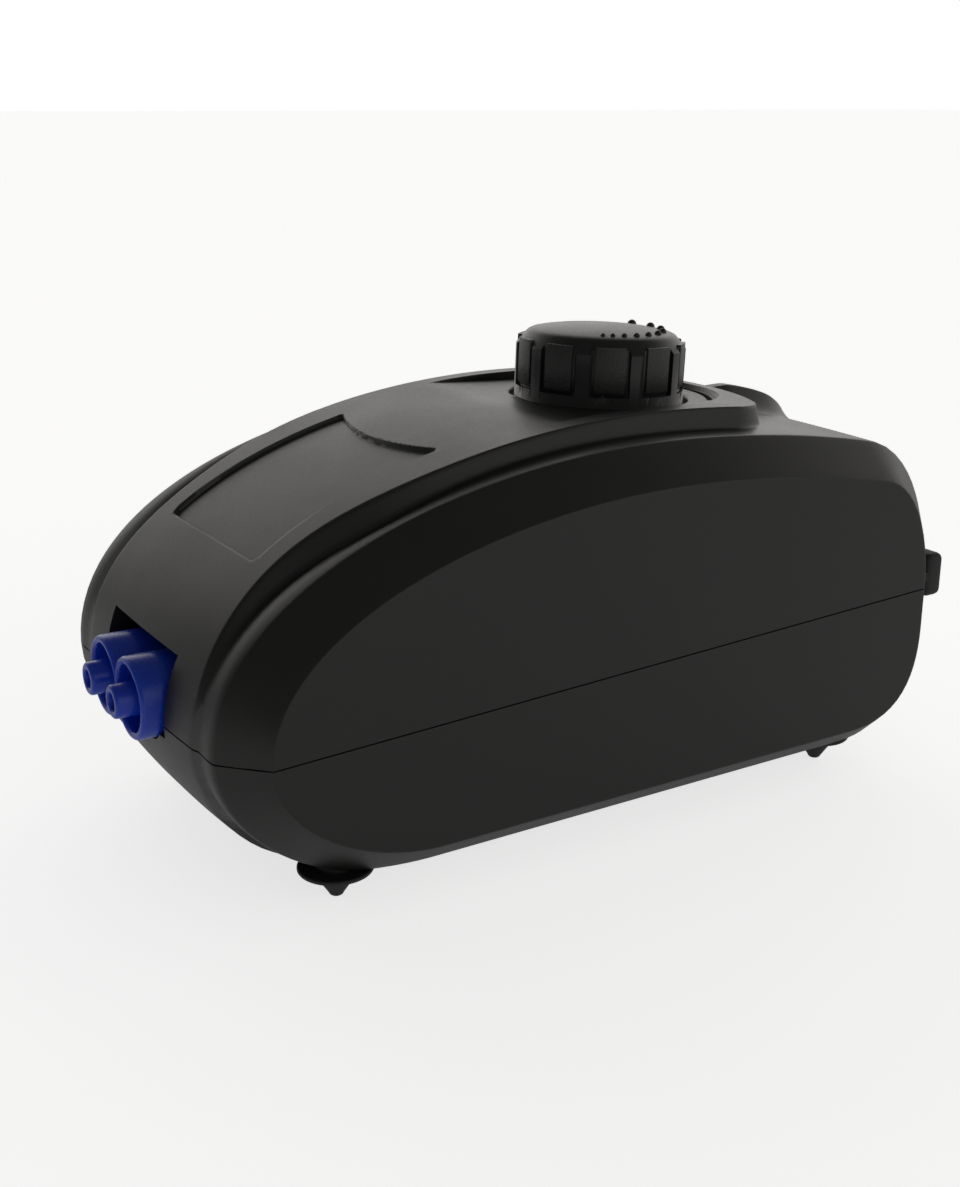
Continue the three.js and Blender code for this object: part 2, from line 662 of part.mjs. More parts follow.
// A steel strap over the coil, screwed down at its two feet.
function coreClamp() {
  const half = bobbin.flange / 2 + clearance;
  const top = pumpHeight + half;
  const width = Math.min(8, 2 * (coreHalf - 1.2 - bobbin.thick) - 1);
  const thick = 1.2;
  const foot = clampFootZ();
  const arch = cut(
    box(coreX - half - thick, coreX + half + thick, -width / 2, width / 2, foot, top + thick),
    box(coreX - half, coreX + half, -side, side, foot - 1, top));
  const reach = clampFootX + 4;
  const ears = box(coreX - reach, coreX + reach, -width / 2, width / 2, foot, foot + thick);
  const gap = box(coreX - half, coreX + half, -side, side, foot - 1, foot + thick + 1);
  const holes = [-1, 1].map((i) => rod(1.7, foot - 1, foot + 3, coreX + i * clampFootX, 0, 12));
  return cut(joined(arch, cut(ears, gap)), ...holes);
}

function clampScrew(i) {
  const x = coreX + i * clampFootX;
  const seat = clampFootZ() + 1.2 + clearance;
  return joined(rod(2.6, seat, seat + 1.8, x, 0, 16), rod(0.95, seat - 9, seat + 0.5, x, 0, 10));
}

function coilLead(i) {
  const radius = 0.8;
  const side0 = i * 6;
  const start = [coreX + 4 * i, 0, pumpHeight + bobbin.flange / 2];
  const points = [
    [coreX + bobbin.flange / 2 + 0.4 + radius, side0, pumpHeight + 6],
    [coreX + bobbin.flange / 2 + 1.6 + radius, side0, pumpHeight + 11],
    [coreX + bobbin.flange / 2 - 2, side0 * 1.2, start[2] + 3.2],
    [coreX + 2, side0 * 1.6, start[2] + 5.2],
  ];
  return piped(points, disc(radius), 12);
}

// ---- One pump, on the side given by sign ----
function swingArm(sign) {
  const z0 = pumpHeight - armHeight / 2;
  const z1 = pumpHeight + armHeight / 2;
  const tip = coreX + magnetSize[0] / 2 + 2;
  const low = sign > 0 ? armInner : -armOuter;
  const plate = box(pivotX - 2.6, tip, low, low + armThickness, z0, z1);
  const hole = rodY(2 + clearance, -side, side, pumpX, pumpHeight, 20);
  const windows = [0.34, 0.62].map((t) => {
    const x = pumpX + t * (coreX - pumpX);
    return rodY(3, -side, side, x, pumpHeight, 20);
  });
  return cut(plate, hole, ...windows);
}

function armMagnet(sign) {
  const [sx, , sz] = magnetSize;
  return box(coreX - sx / 2, coreX + sx / 2, sign > 0 ? magnetInner : -magnetOuter,
    sign > 0 ? magnetOuter : -magnetInner, pumpHeight - sz / 2, pumpHeight + sz / 2);
}

function pivotRubber(sign) {
  const y = sign * armY;
  const half = armHeight / 2 + clearance;
  const slot = box(pivotX - 2.6 - clearance, pivotX + 8, y - armThickness / 2 - clearance,
    y + armThickness / 2 + clearance, pumpHeight - half, pumpHeight + half);
  return cut(rod(pivotRadius, pivotBottom, pumpHeight + half + 2, pivotX, y, 20), slot);
}

// Turned about the pump's axis, which lies along Y: profile heights run outwards.
function pumpTurned(profile, sign, sides = 20) {
  const upright = turned(profile, sides);
  return upright.rotate([sign > 0 ? -90 : 90, 0, 0]).translate([pumpX, 0, pumpHeight]);
}

function diaphragm(sign) {
  const hub = armOuter + clearance;
  const rim = pumpDiameter / 2;
  const top = rimInner + rimThickness;
  return pumpTurned([
    [2 + clearance, hub], [6, hub], [6.6, hub + 1.2], [9.8, rimInner - 0.6], [11.6, rimInner],
    [rim, rimInner], [rim, top], [11, top], [9.2, top - 0.8], [6.4, hub + 2.6], [5.6, hub + 3],
    [2 + clearance, hub + 3], [2 + clearance, hub],
  ], sign);
}

function diaphragmScrew(sign) {
  const head = armInner - clearance;
  const hub = armOuter + clearance;
  return pumpTurned([
    [0, head - 1.8], [3.4, head - 1.8], [3.8, head - 1.2], [3.8, head], [2, head], [2, hub + 3 + clearance],
    [4, hub + 3 + clearance], [4, hub + 4], [0, hub + 4],
  ], sign, 20);
}

const port = { radius: 1.8, spread: 6 };

function pumpChamber(sign) {
  const rim = pumpDiameter / 2;
  const cup = pumpTurned([
    [rim, chamberInner], [rim, chamberOuter], [0, chamberOuter], [0, chamberOuter - 1.8],
    [rim - 4, chamberOuter - 1.8], [rim - 3.4, chamberInner], [rim, chamberInner],
  ], sign);
  const ports = [-1, 1].map((i) => rodY(port.radius, -side, side, pumpX, pumpHeight + i * port.spread, 16));
  return cut(cup, ...ports.map((p) => p.intersect(halfOf(sign))));
}

function halfOf(sign) {
  return box(front, rear, sign > 0 ? 1 : -side - 5, sign > 0 ? side + 5 : -1, 0, 2 * panelTop);
}

// A valve leaf: upper one outside the chamber floor, lower one inside it.
const leaf = { length: 8.4, width: 6, thick: 0.6 };

function valveLeaf(sign, outlet) {
  const z = pumpHeight + (outlet ? port.spread : -port.spread);
  const y0 = outlet ? chamberOuter + clearance : chamberOuter - 1.8 - clearance - leaf.thick;
  const hinge = outlet ? z + leaf.length / 2 - 0.6 : z - leaf.length / 2 + 0.6;
  const plate = box(pumpX - leaf.width / 2, pumpX + leaf.width / 2, y0, y0 + leaf.thick,
    z - leaf.length / 2, z + leaf.length / 2);
  const radius = leaf.thick / 2;
  const bead = rodX(radius, pumpX - leaf.width / 2, pumpX + leaf.width / 2, y0 + radius, hinge, 12);
  const whole = joined(plate, bead);
  return sign > 0 ? whole : whole.mirror([0, 1, 0]);
}

function chamberCover(sign) {
  const rim = pumpDiameter / 2;
  const inner = coverOuter - coverThickness;
  const disk = rodY(rim, inner, coverOuter, pumpX, pumpHeight, 24);
  const pocket = (z0, z1) => box(pumpX - 5, pumpX + 5, inner - 1, coverOuter - 1,
    pumpHeight + z0, pumpHeight + z1);
  const portZ = pumpHeight + port.spread;
  const spigot = rodX(spigotRadius, pumpX - rim - spigotLength, pumpX - 8, portY, portZ, 12);
  const bore = rodX(spigotRadius - 0.7, pumpX - rim - spigotLength - 1, pumpX, portY, portZ, 8);
  const intake = box(pumpX - 3, pumpX + 3, inner - 1, coverOuter - 1,
    pumpHeight - rim - 2, pumpHeight - port.spread);
  const whole = cut(joined(disk, spigot), pocket(1.2, 11.6), pocket(-11, -1.2), bore, intake);
  return sign > 0 ? whole : whole.mirror([0, 1, 0]);
}

// A silicone tube from the pump's spigot, over the arm's hinge end, to the back of an outlet.
function airTube(sign) {
  const portZ = pumpHeight + port.spread;
  const startX = pumpX - pumpDiameter / 2 - 2 * clearance;
  const over = pumpHeight + armHeight / 2 + 2 + tubeDiameter / 2 + 1.4;
  const endX = plateX + 2 * clearance;
  const points = [
    [startX, portY, portZ], [startX - 3.5, portY, portZ], [startX - 7, portY, portZ],
    [startX - 10.5, portY - 5, portZ + 4], [startX - 14.5, armY, over], [startX - 18, armY / 2, over - 2],
    [endX + 11, armY * 0.35, outletHeight + 4.5], [endX + 7, outletSpacing / 2, outletHeight],
    [endX + 3.5, outletSpacing / 2, outletHeight], [endX, outletSpacing / 2, outletHeight],
  ].map(([x, y, z]) => [x, sign * y, z]);
  return piped(points, disc(tubeDiameter / 2, tubeBore / 2), 16);
}

// ---- The assembly ----
const finish = {
  housing: { color: 0x1b1a19, roughness: 0.5, metalness: 0 },
  knob: { color: 0x1a1a1a, roughness: 0.6, metalness: 0 },
  outlet: { color: 0x1f35c4, roughness: 0.38, metalness: 0 },
  rubber: { color: 0x121212, roughness: 0.85, metalness: 0 },
  softRubber: { color: 0x2a2a2a, roughness: 0.8, metalness: 0 },
  steel: { color: 0xa5a7aa, roughness: 0.35, metalness: 1 },
  core: { color: 0x6c6e70, roughness: 0.5, metalness: 1 },
  copper: { color: 0xa8552a, roughness: 0.4, metalness: 1 },
  magnet: { color: 0x55565a, roughness: 0.45, metalness: 1 },
  nylon: { color: 0xe4e0d4, roughness: 0.5, metalness: 0 },
  board: { color: 0x9a6a34, roughness: 0.6, metalness: 0 },
  clear: { color: 0xd9e2e4, roughness: 0.3, metalness: 0 },
  felt: { color: 0xf0eee6, roughness: 0.95, metalness: 0 },
};

const pump = new THREE.Group();
pump.position.x = (outletTip - bushTip) / 2; // origin under the middle of the overall length

function add(name, body, look, group = pump) {
  const mesh = new THREE.Mesh(geometryOf(body), new THREE.MeshStandardMaterial(finish[look]));
  mesh.name = name;
  group.add(mesh);
}

add("upper_housing", upperHousing(), "housing");
add("lower_housing", lowerHousing(), "housing");
corners.forEach((place, i) => {
  add(`foot_${i + 1}`, foot(place), "rubber");
  add(`housing_screw_${i + 1}`, housingScrew(place), "steel");
});
add("filter_cover", filterCover(), "housing");
add("filter_felt", filterFelt(), "felt");
add("outlet_nozzle", outletNozzle(), "outlet");
add("cord_bush", cordBush(), "rubber");

const controls = new THREE.Group();
pump.add(controls);
add("knob", knob(), "knob", controls);
add("control_shaft", controlShaft(), "steel", controls);
add("control_body", controlBody(), "steel", controls);
add("control_nut", controlNut(), "steel", controls);
add("circuit_board", circuitBoard(), "board", controls);
add("board_capacitor", boardCapacitor(), "softRubber", controls);
add("board_switch", boardSwitch(), "softRubber", controls);
boardScrewPlaces().forEach((place, i) => add(`board_screw_${i + 1}`, boardScrew(place), "steel", controls));

const drive = new THREE.Group();
pump.add(drive);
add("core_stack", coreStack(), "core", drive);
add("coil_bobbin", coilBobbin(), "nylon", drive);
add("coil_winding", coilWinding(), "copper", drive);
add("core_clamp", coreClamp(), "steel", drive);
[-1, 1].forEach((i, n) => {
  add(`clamp_screw_${n + 1}`, clampScrew(i), "steel", drive);
  add(`coil_lead_${n + 1}`, coilLead(i), "softRubber", drive);
});

for (const [hand, sign] of [["left", 1], ["right", -1]]) {
  const unit = new THREE.Group();
  pump.add(unit);
  add(`swing_arm_${hand}`, swingArm(sign), "nylon", unit);
  add(`arm_magnet_${hand}`, armMagnet(sign), "magnet", unit);
  add(`pivot_rubber_${hand}`, pivotRubber(sign), "softRubber", unit);
  add(`diaphragm_${hand}`, diaphragm(sign), "softRubber", unit);
  add(`diaphragm_screw_${hand}`, diaphragmScrew(sign), "steel", unit);
  add(`pump_chamber_${hand}`, pumpChamber(sign), "nylon", unit);
  add(`outlet_leaf_${hand}`, valveLeaf(sign, true), "softRubber", unit);
  add(`inlet_leaf_${hand}`, valveLeaf(sign, false), "softRubber", unit);
  add(`chamber_cover_${hand}`, chamberCover(sign), "nylon", unit);
  add(`air_tube_${hand}`, airTube(sign), "clear", unit);
}

export default pump;
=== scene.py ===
import json
import math

import bpy
import numpy as np
from mathutils import Matrix, Vector


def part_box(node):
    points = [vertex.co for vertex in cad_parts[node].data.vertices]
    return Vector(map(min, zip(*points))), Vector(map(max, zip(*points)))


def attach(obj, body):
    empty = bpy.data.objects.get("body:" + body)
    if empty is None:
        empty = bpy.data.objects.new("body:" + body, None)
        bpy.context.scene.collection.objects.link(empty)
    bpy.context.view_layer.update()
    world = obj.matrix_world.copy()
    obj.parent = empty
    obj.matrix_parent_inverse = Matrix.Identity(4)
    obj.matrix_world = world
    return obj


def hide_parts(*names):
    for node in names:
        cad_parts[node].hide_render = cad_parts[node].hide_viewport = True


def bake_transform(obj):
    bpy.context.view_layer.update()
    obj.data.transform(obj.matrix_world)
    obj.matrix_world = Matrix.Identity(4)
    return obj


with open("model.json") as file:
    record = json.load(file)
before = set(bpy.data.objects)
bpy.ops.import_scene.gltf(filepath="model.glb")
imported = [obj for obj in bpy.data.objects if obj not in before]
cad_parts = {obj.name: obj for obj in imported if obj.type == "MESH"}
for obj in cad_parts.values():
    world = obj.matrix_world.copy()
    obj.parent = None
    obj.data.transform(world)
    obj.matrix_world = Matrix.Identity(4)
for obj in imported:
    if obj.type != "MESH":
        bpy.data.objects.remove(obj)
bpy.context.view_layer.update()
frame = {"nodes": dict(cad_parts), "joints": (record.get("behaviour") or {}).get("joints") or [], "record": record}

mm = 0.001

lowHouse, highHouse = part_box("upper_housing")
middle = (lowHouse.x + highHouse.x) / 2 / mm  # the housing's middle along the pump's length
halfLength = (highHouse.x - lowHouse.x) / 2 / mm
halfWidth = (highHouse.y - lowHouse.y) / 2 / mm
knobJoint = next(j for j in frame["joints"] if j["name"] == "knob_turn")
knobPlace = Vector(knobJoint["pos_m"])
knobAxis = Vector(knobJoint["axis"]).normalized()
knobX = knobPlace.x / mm - middle


# Camera, floor and light
camera = {"place": (-142.3, -217.7, 116.8), "towards": (0.498, 0.811, -0.307), "lens": 45.95}
studio = {
    "floorSize": 60.0,
    "floorColour": (0.9, 0.9, 0.9, 1),
    "floorGlow": 0.72,
    "backWall": 1.25,  # brightness low down behind the pump
    "frontWall": 0.5,  # and on the camera's side
    "ceiling": 0.1,
    "wallTurn": 0.4,  # the bright wall is turned this much towards -X
    "wallSweep": (-0.6, 0.5),  # where it starts and ends fading round
    "wallTop": (0.42, 0.72),  # sine of the height where the walls start and end fading
    "darkFront": (-0.62, 0.0),  # the walls go dark towards -X, between these directions
    "floorBounce": 0.22,  # glow that only lights the pump
    "tint": (1, 0.98, 0.955, 1),
}


def setCamera():
    data = bpy.data.cameras.new("camera")
    data.lens = camera["lens"]
    data.sensor_width = 36
    data.clip_start = 0.01
    eye = bpy.data.objects.new("camera", data)
    eye.location = Vector(camera["place"]) * mm
    eye.rotation_euler = Vector(camera["towards"]).to_track_quat("-Z", "Y").to_euler()
    bpy.context.scene.collection.objects.link(eye)
    bpy.context.scene.camera = eye
    bpy.context.scene.view_settings.view_transform = "Standard"


def worldMath(nodes, links, operation, a, b):
    node = nodes.new("ShaderNodeMath")
    node.operation = operation
    for slot, value in enumerate((a, b)):
        if isinstance(value, (int, float)):
            node.inputs[slot].default_value = value
        else:
            links.new(value, node.inputs[slot])
    return node.outputs[0]


def fade(nodes, links, value, low, high, start, end):
    node = nodes.new("ShaderNodeMapRange")
    node.interpolation_type = "SMOOTHSTEP"
    links.new(value, node.inputs["Value"])
    for key, number in (("From Min", low), ("From Max", high), ("To Min", start), ("To Max", end)):
        node.inputs[key].default_value = number
    return node.outputs["Result"]


def lightStudio():
    # A light tent: bright walls low down behind the pump, dimmer ones in front, a dark ceiling.
    world = bpy.data.worlds.new("studio")
    bpy.context.scene.world = world
    world.use_nodes = True
    nodes, links = world.node_tree.nodes, world.node_tree.links
    split = nodes.new("ShaderNodeSeparateXYZ")
    links.new(nodes.new("ShaderNodeTexCoord").outputs["Generated"], split.inputs[0])
    turned = worldMath(nodes, links, "SUBTRACT", split.outputs["Y"],
                       worldMath(nodes, links, "MULTIPLY", split.outputs["X"], studio["wallTurn"]))
    wall = fade(nodes, links, turned, *studio["wallSweep"], studio["frontWall"], studio["backWall"])
    share = fade(nodes, links, split.outputs["Z"], *studio["wallTop"], 1, 0)
    ahead = fade(nodes, links, split.outputs["X"], *studio["darkFront"], 0, 1)
    share = worldMath(nodes, links, "MULTIPLY", share, ahead)
    lit = worldMath(nodes, links, "ADD", worldMath(nodes, links, "MULTIPLY", wall, share), studio["ceiling"])
    links.new(lit, nodes["Background"].inputs["Strength"])
    nodes["Background"].inputs["Color"].default_value = studio["tint"]
    seen = nodes.new("ShaderNodeBackground")
    seen.inputs["Color"].default_value = (1, 1, 1, 1)
    path = nodes.new("ShaderNodeLightPath")
    mix = nodes.new("ShaderNodeMixShader")
    links.new(path.outputs["Is Camera Ray"], mix.inputs["Fac"])
    links.new(nodes["Background"].outputs[0], mix.inputs[1])
    links.new(seen.outputs[0], mix.inputs[2])
    links.new(mix.outputs[0], nodes["World Output"].inputs["Surface"])


# Small helpers
def leaveEdit():
    if bpy.context.object and bpy.context.object.mode != "OBJECT":
        bpy.ops.object.mode_set(mode="OBJECT")


def makeActive(piece, *others):
    leaveEdit()
    bpy.ops.object.select_all(action="DESELECT")
    for other in others:
        other.select_set(True)
    piece.select_set(True)
    bpy.context.view_layer.objects.active = piece


def startPiece(name):
    piece = bpy.context.object
    piece.name = name
    piece.data.name = name
    return piece


def openEdit(piece, select="FACE"):
    makeActive(piece)
    bpy.ops.object.mode_set(mode="EDIT")
    bpy.ops.mesh.select_mode(type=select)
    bpy.ops.mesh.select_all(action="DESELECT")


def pickFaces(piece, test):
    # Opens edit mode with only the faces selected whose centre and normal pass the test.
    openEdit(piece)
    bpy.ops.object.mode_set(mode="OBJECT")
    for face in piece.data.polygons:
        face.select = bool(test(face.center, face.normal))
    bpy.ops.object.mode_set(mode="EDIT")


def mergeAndFaceOut(piece):
    openEdit(piece)
    bpy.ops.mesh.select_all(action="SELECT")
    bpy.ops.mesh.remove_doubles(threshold=0.00001)
    bpy.ops.mesh.normals_make_consistent(inside=False)
    bpy.ops.object.mode_set(mode="OBJECT")


def trimRing(ring, isSpare):
    # Takes out the faces that pass the test and closes the ends that are left.
    pickFaces(ring, isSpare)
    bpy.ops.mesh.delete(type="FACE")
    bpy.ops.mesh.select_all(action="SELECT")
    bpy.ops.mesh.fill_holes(sides=0)
    bpy.ops.object.mode_set(mode="OBJECT")
    mergeAndFaceOut(ring)


def smooth(piece, degrees):
    makeActive(piece)
    bpy.ops.object.shade_smooth_by_angle(angle=math.radians(degrees))


def applyModifier(piece, kind, **settings):
    makeActive(piece)
    modifier = piece.modifiers.new(kind.lower(), kind)
    for key, value in settings.items():
        setattr(modifier, key, value)
    bpy.ops.object.modifier_apply(modifier=modifier.name)


def carve(piece, tool, operation="DIFFERENCE"):
    applyModifier(piece, "BOOLEAN", operation=operation, solver="EXACT", object=tool)
    bpy.data.objects.remove(tool)


def bevelEdges(piece, width, segments=2, degrees=30):
    applyModifier(piece, "BEVEL", width=width * mm, segments=segments, limit_method="ANGLE",
                  angle_limit=math.radians(degrees), harden_normals=False)


def atPump(x, y, z):
    # Millimetres from the housing's middle to metres in the frame.
    return Vector(((x + middle) * mm, y * mm, z * mm))


def addBlock(name, low, high):
    leaveEdit()
    bpy.ops.object.select_all(action="DESELECT")
    centre = [(a + b) / 2 for a, b in zip(low, high)]
    bpy.ops.mesh.primitive_cube_add(size=1, location=atPump(*centre))
    piece = startPiece(name)
    piece.scale = [(b - a) * mm for a, b in zip(low, high)]
    bpy.ops.object.transform_apply(location=True, rotation=True, scale=True)
    return piece


def addTurned(name, profile, sides):
    # Turns a profile of (radius, height) in millimetres about the upright axis at the origin, by
    # extruding a circle and scaling it. A profile that ends where it starts makes a ring.
    leaveEdit()
    bpy.ops.object.select_all(action="DESELECT")
    radius, height = profile[0]
    bpy.ops.mesh.primitive_circle_add(vertices=sides, radius=radius * mm, location=(0, 0, height * mm))
    piece = startPiece(name)
    bpy.ops.object.transform_apply(location=True)
    openEdit(piece, "EDGE")
    bpy.ops.mesh.select_all(action="SELECT")
    isRing = profile[0] == profile[-1]
    if not isRing:
        bpy.ops.mesh.edge_face_add()
        bpy.ops.mesh.select_all(action="SELECT")
    for r, z in profile[1:]:
        if isRing:
            bpy.ops.mesh.extrude_edges_move()
        else:
            bpy.ops.mesh.extrude_region_move()
        bpy.ops.transform.translate(value=(0, 0, (z - height) * mm))
        bpy.ops.transform.resize(value=(r / radius, r / radius, 1), center_override=(0, 0, z * mm))
        radius, height = r, z
    bpy.ops.object.mode_set(mode="OBJECT")
    mergeAndFaceOut(piece)
    return piece


def placeMesh(piece, matrix):
    # Puts the place into the mesh, so that the object itself stays at the origin.
    piece.matrix_world = matrix
    makeActive(piece)
    bpy.ops.object.transform_apply(location=True, rotation=True, scale=True)


def addRod(name, radius, low, high, x=0.0, y=0.0, sides=32):
    # An upright cylinder, placed from the housing's middle.
    rod = addTurned(name, [(radius, low), (radius, high)], sides)
    placeMesh(rod, Matrix.Translation(atPump(x, y, 0)))
    return rod


def joinPieces(first, *others):
    makeActive(first, *others)
    bpy.ops.object.join()
    return first


def copyOf(piece, name):
    twin = piece.copy()
    twin.data = piece.data.copy()
    twin.name = name
    twin.data.name = name
    bpy.context.scene.collection.objects.link(twin)
    return twin


def finishPiece(piece, body, slot, material, *nodes):
    piece.data.materials.clear()
    piece.data.materials.append(material)
    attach(piece, body)
    if nodes:
        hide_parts(*nodes)
    return piece


# Materials
def newGroup(name, inputs, outputs):
    group = bpy.data.node_groups.new(name, "ShaderNodeTree")
    for label, kind, value in inputs:
        socket = group.interface.new_socket(name=label, in_out="INPUT", socket_type=kind)
        socket.default_value = value
    for label, kind in outputs:
        group.interface.new_socket(name=label, in_out="OUTPUT", socket_type=kind)
    start = group.nodes.new("NodeGroupInput")
    end = group.nodes.new("NodeGroupOutput")
    return group, start, end


def mathNode(group, operation, a, b=None, clamp=False):
    node = group.nodes.new("ShaderNodeMath")
    node.operation = operation
    node.use_clamp = clamp
    for slot, value in enumerate((a, b)):
        if value is None:
            continue
        if isinstance(value, (int, float)):
            node.inputs[slot].default_value = value
        else:
            group.links.new(value, node.inputs[slot])
    return node.outputs[0]


def mixColour(group, factor, a, b):
    node = group.nodes.new("ShaderNodeMix")
    node.data_type = "RGBA"
    for socket, value in ((node.inputs["Factor"], factor), (node.inputs["A"], a), (node.inputs["B"], b)):
        if isinstance(value, (float, int)):
            socket.default_value = value
        elif isinstance(value, tuple):
            socket.default_value = value
        else:
            group.links.new(value, socket)
    return node.outputs["Result"]


def noiseNode(group, place, scale, detail=3.0, rough=0.55):
    node = group.nodes.new("ShaderNodeTexNoise")
    group.links.new(place, node.inputs["Vector"])
    if isinstance(scale, (int, float)):
        node.inputs["Scale"].default_value = scale
    else:
        group.links.new(scale, node.inputs["Scale"])
    node.inputs["Detail"].default_value = detail
    node.inputs["Roughness"].default_value = rough
    return node.outputs["Fac"]


def makeMouldedGroup():
    # Moulded skin: fine grain, slow mottling, and small scuffs. Gives colour, roughness and height.
    group, start, end = newGroup("mouldedSkin", [
        ("Colour", "NodeSocketColor", (0.02, 0.02, 0.02, 1)),
        ("Worn Colour", "NodeSocketColor", (0.05, 0.05, 0.05, 1)),
        ("Roughness", "NodeSocketFloat", 0.45),
        ("Roughness Spread", "NodeSocketFloat", 0.1),
        ("Grain Scale", "NodeSocketFloat", 2500.0),
        ("Mottle", "NodeSocketFloat", 0.3),
        ("Coarse Grain", "NodeSocketFloat", 0.0),  # more where the mesh is marked as grained
    ], [("Colour", "NodeSocketColor"), ("Roughness", "NodeSocketFloat"), ("Height", "NodeSocketFloat")])
    place = group.nodes.new("ShaderNodeTexCoord").outputs["Object"]
    grain = noiseNode(group, place, start.outputs["Grain Scale"], 2.0, 0.6)
    mottle = noiseNode(group, place, 60.0, 4.0, 0.6)
    scuffs = noiseNode(group, place, 420.0, 6.0, 0.7)
    marks = mathNode(group, "MULTIPLY", mathNode(group, "SUBTRACT", scuffs, 0.62, True), 3.0, True)
    amount = mathNode(group, "MULTIPLY", mottle, start.outputs["Mottle"])
    total = mathNode(group, "ADD", amount, mathNode(group, "MULTIPLY", marks, start.outputs["Mottle"]), True)
    marked = group.nodes.new("ShaderNodeAttribute")
    marked.attribute_name = "grained"
    coarse = mathNode(group, "MULTIPLY", marked.outputs["Fac"], start.outputs["Coarse Grain"])
    beads = mathNode(group, "MULTIPLY", noiseNode(group, place, 3200.0, 1.0, 0.5), coarse)
    total = mathNode(group, "ADD", total, mathNode(group, "MULTIPLY", beads, 0.9), True)
    colour = mixColour(group, total, start.outputs["Colour"], start.outputs["Worn Colour"])
    centred = mathNode(group, "SUBTRACT", mathNode(group, "ADD", grain, mottle), 1.0)
    swing = mathNode(group, "MULTIPLY", centred, start.outputs["Roughness Spread"])
    rough = mathNode(group, "ADD", start.outputs["Roughness"], swing, True)
    group.links.new(colour, end.inputs["Colour"])
    group.links.new(rough, end.inputs["Roughness"])
    height = mathNode(group, "ADD", grain, mathNode(group, "MULTIPLY", beads, 4.0))
    group.links.new(height, end.inputs["Height"])
    return group


def makeBrushedGroup():
    # Drawn or plated metal: stretched streaks along Z and a slow tarnish.
    group, start, end = newGroup("drawnMetal", [
        ("Colour", "NodeSocketColor", (0.6, 0.6, 0.6, 1)),
        ("Tarnish", "NodeSocketColor", (0.35, 0.34, 0.32, 1)),
        ("Roughness", "NodeSocketFloat", 0.3),
        ("Streak Scale", "NodeSocketFloat", 900.0),
    ], [("Colour", "NodeSocketColor"), ("Roughness", "NodeSocketFloat"), ("Height", "NodeSocketFloat")])
    place = group.nodes.new("ShaderNodeTexCoord").outputs["Object"]
    stretch = group.nodes.new("ShaderNodeMapping")
    stretch.inputs["Scale"].default_value = (1, 1, 0.08)
    group.links.new(place, stretch.inputs["Vector"])
    streaks = noiseNode(group, stretch.outputs["Vector"], start.outputs["Streak Scale"], 3.0, 0.6)
    tarnish = noiseNode(group, place, 180.0, 4.0, 0.6)
    colour = mixColour(group, tarnish, start.outputs["Colour"], start.outputs["Tarnish"])
    swing = mathNode(group, "MULTIPLY", mathNode(group, "SUBTRACT", streaks, 0.5), 0.3)
    group.links.new(colour, end.inputs["Colour"])
    group.links.new(mathNode(group, "ADD", start.outputs["Roughness"], swing, True), end.inputs["Roughness"])
    group.links.new(streaks, end.inputs["Height"])
    return group


mouldedSkin = makeMouldedGroup()
drawnMetal = makeBrushedGroup()


def makeMaterial(name, group, values, bump, depth, metallic=0.0, specular=0.5, coat=0.0):
    material = bpy.data.materials.new(name)
    material.use_nodes = True
    tree = material.node_tree
    shader = tree.nodes["Principled BSDF"]
    skin = tree.nodes.new("ShaderNodeGroup")
    skin.node_tree = group
    for key, value in values.items():
        skin.inputs[key].default_value = value
    tree.links.new(skin.outputs["Colour"], shader.inputs["Base Color"])
    tree.links.new(skin.outputs["Roughness"], shader.inputs["Roughness"])
    bumpNode = tree.nodes.new("ShaderNodeBump")
    bumpNode.inputs["Strength"].default_value = bump
    bumpNode.inputs["Distance"].default_value = depth * mm
    tree.links.new(skin.outputs["Height"], bumpNode.inputs["Height"])
    tree.links.new(bumpNode.outputs["Normal"], shader.inputs["Normal"])
    shader.inputs["Metallic"].default_value = metallic
    shader.inputs["Specular IOR Level"].default_value = specular
    shader.inputs["Coat Weight"].default_value = coat
    return material


def rgb(r, g, b):
    return (r, g, b, 1)


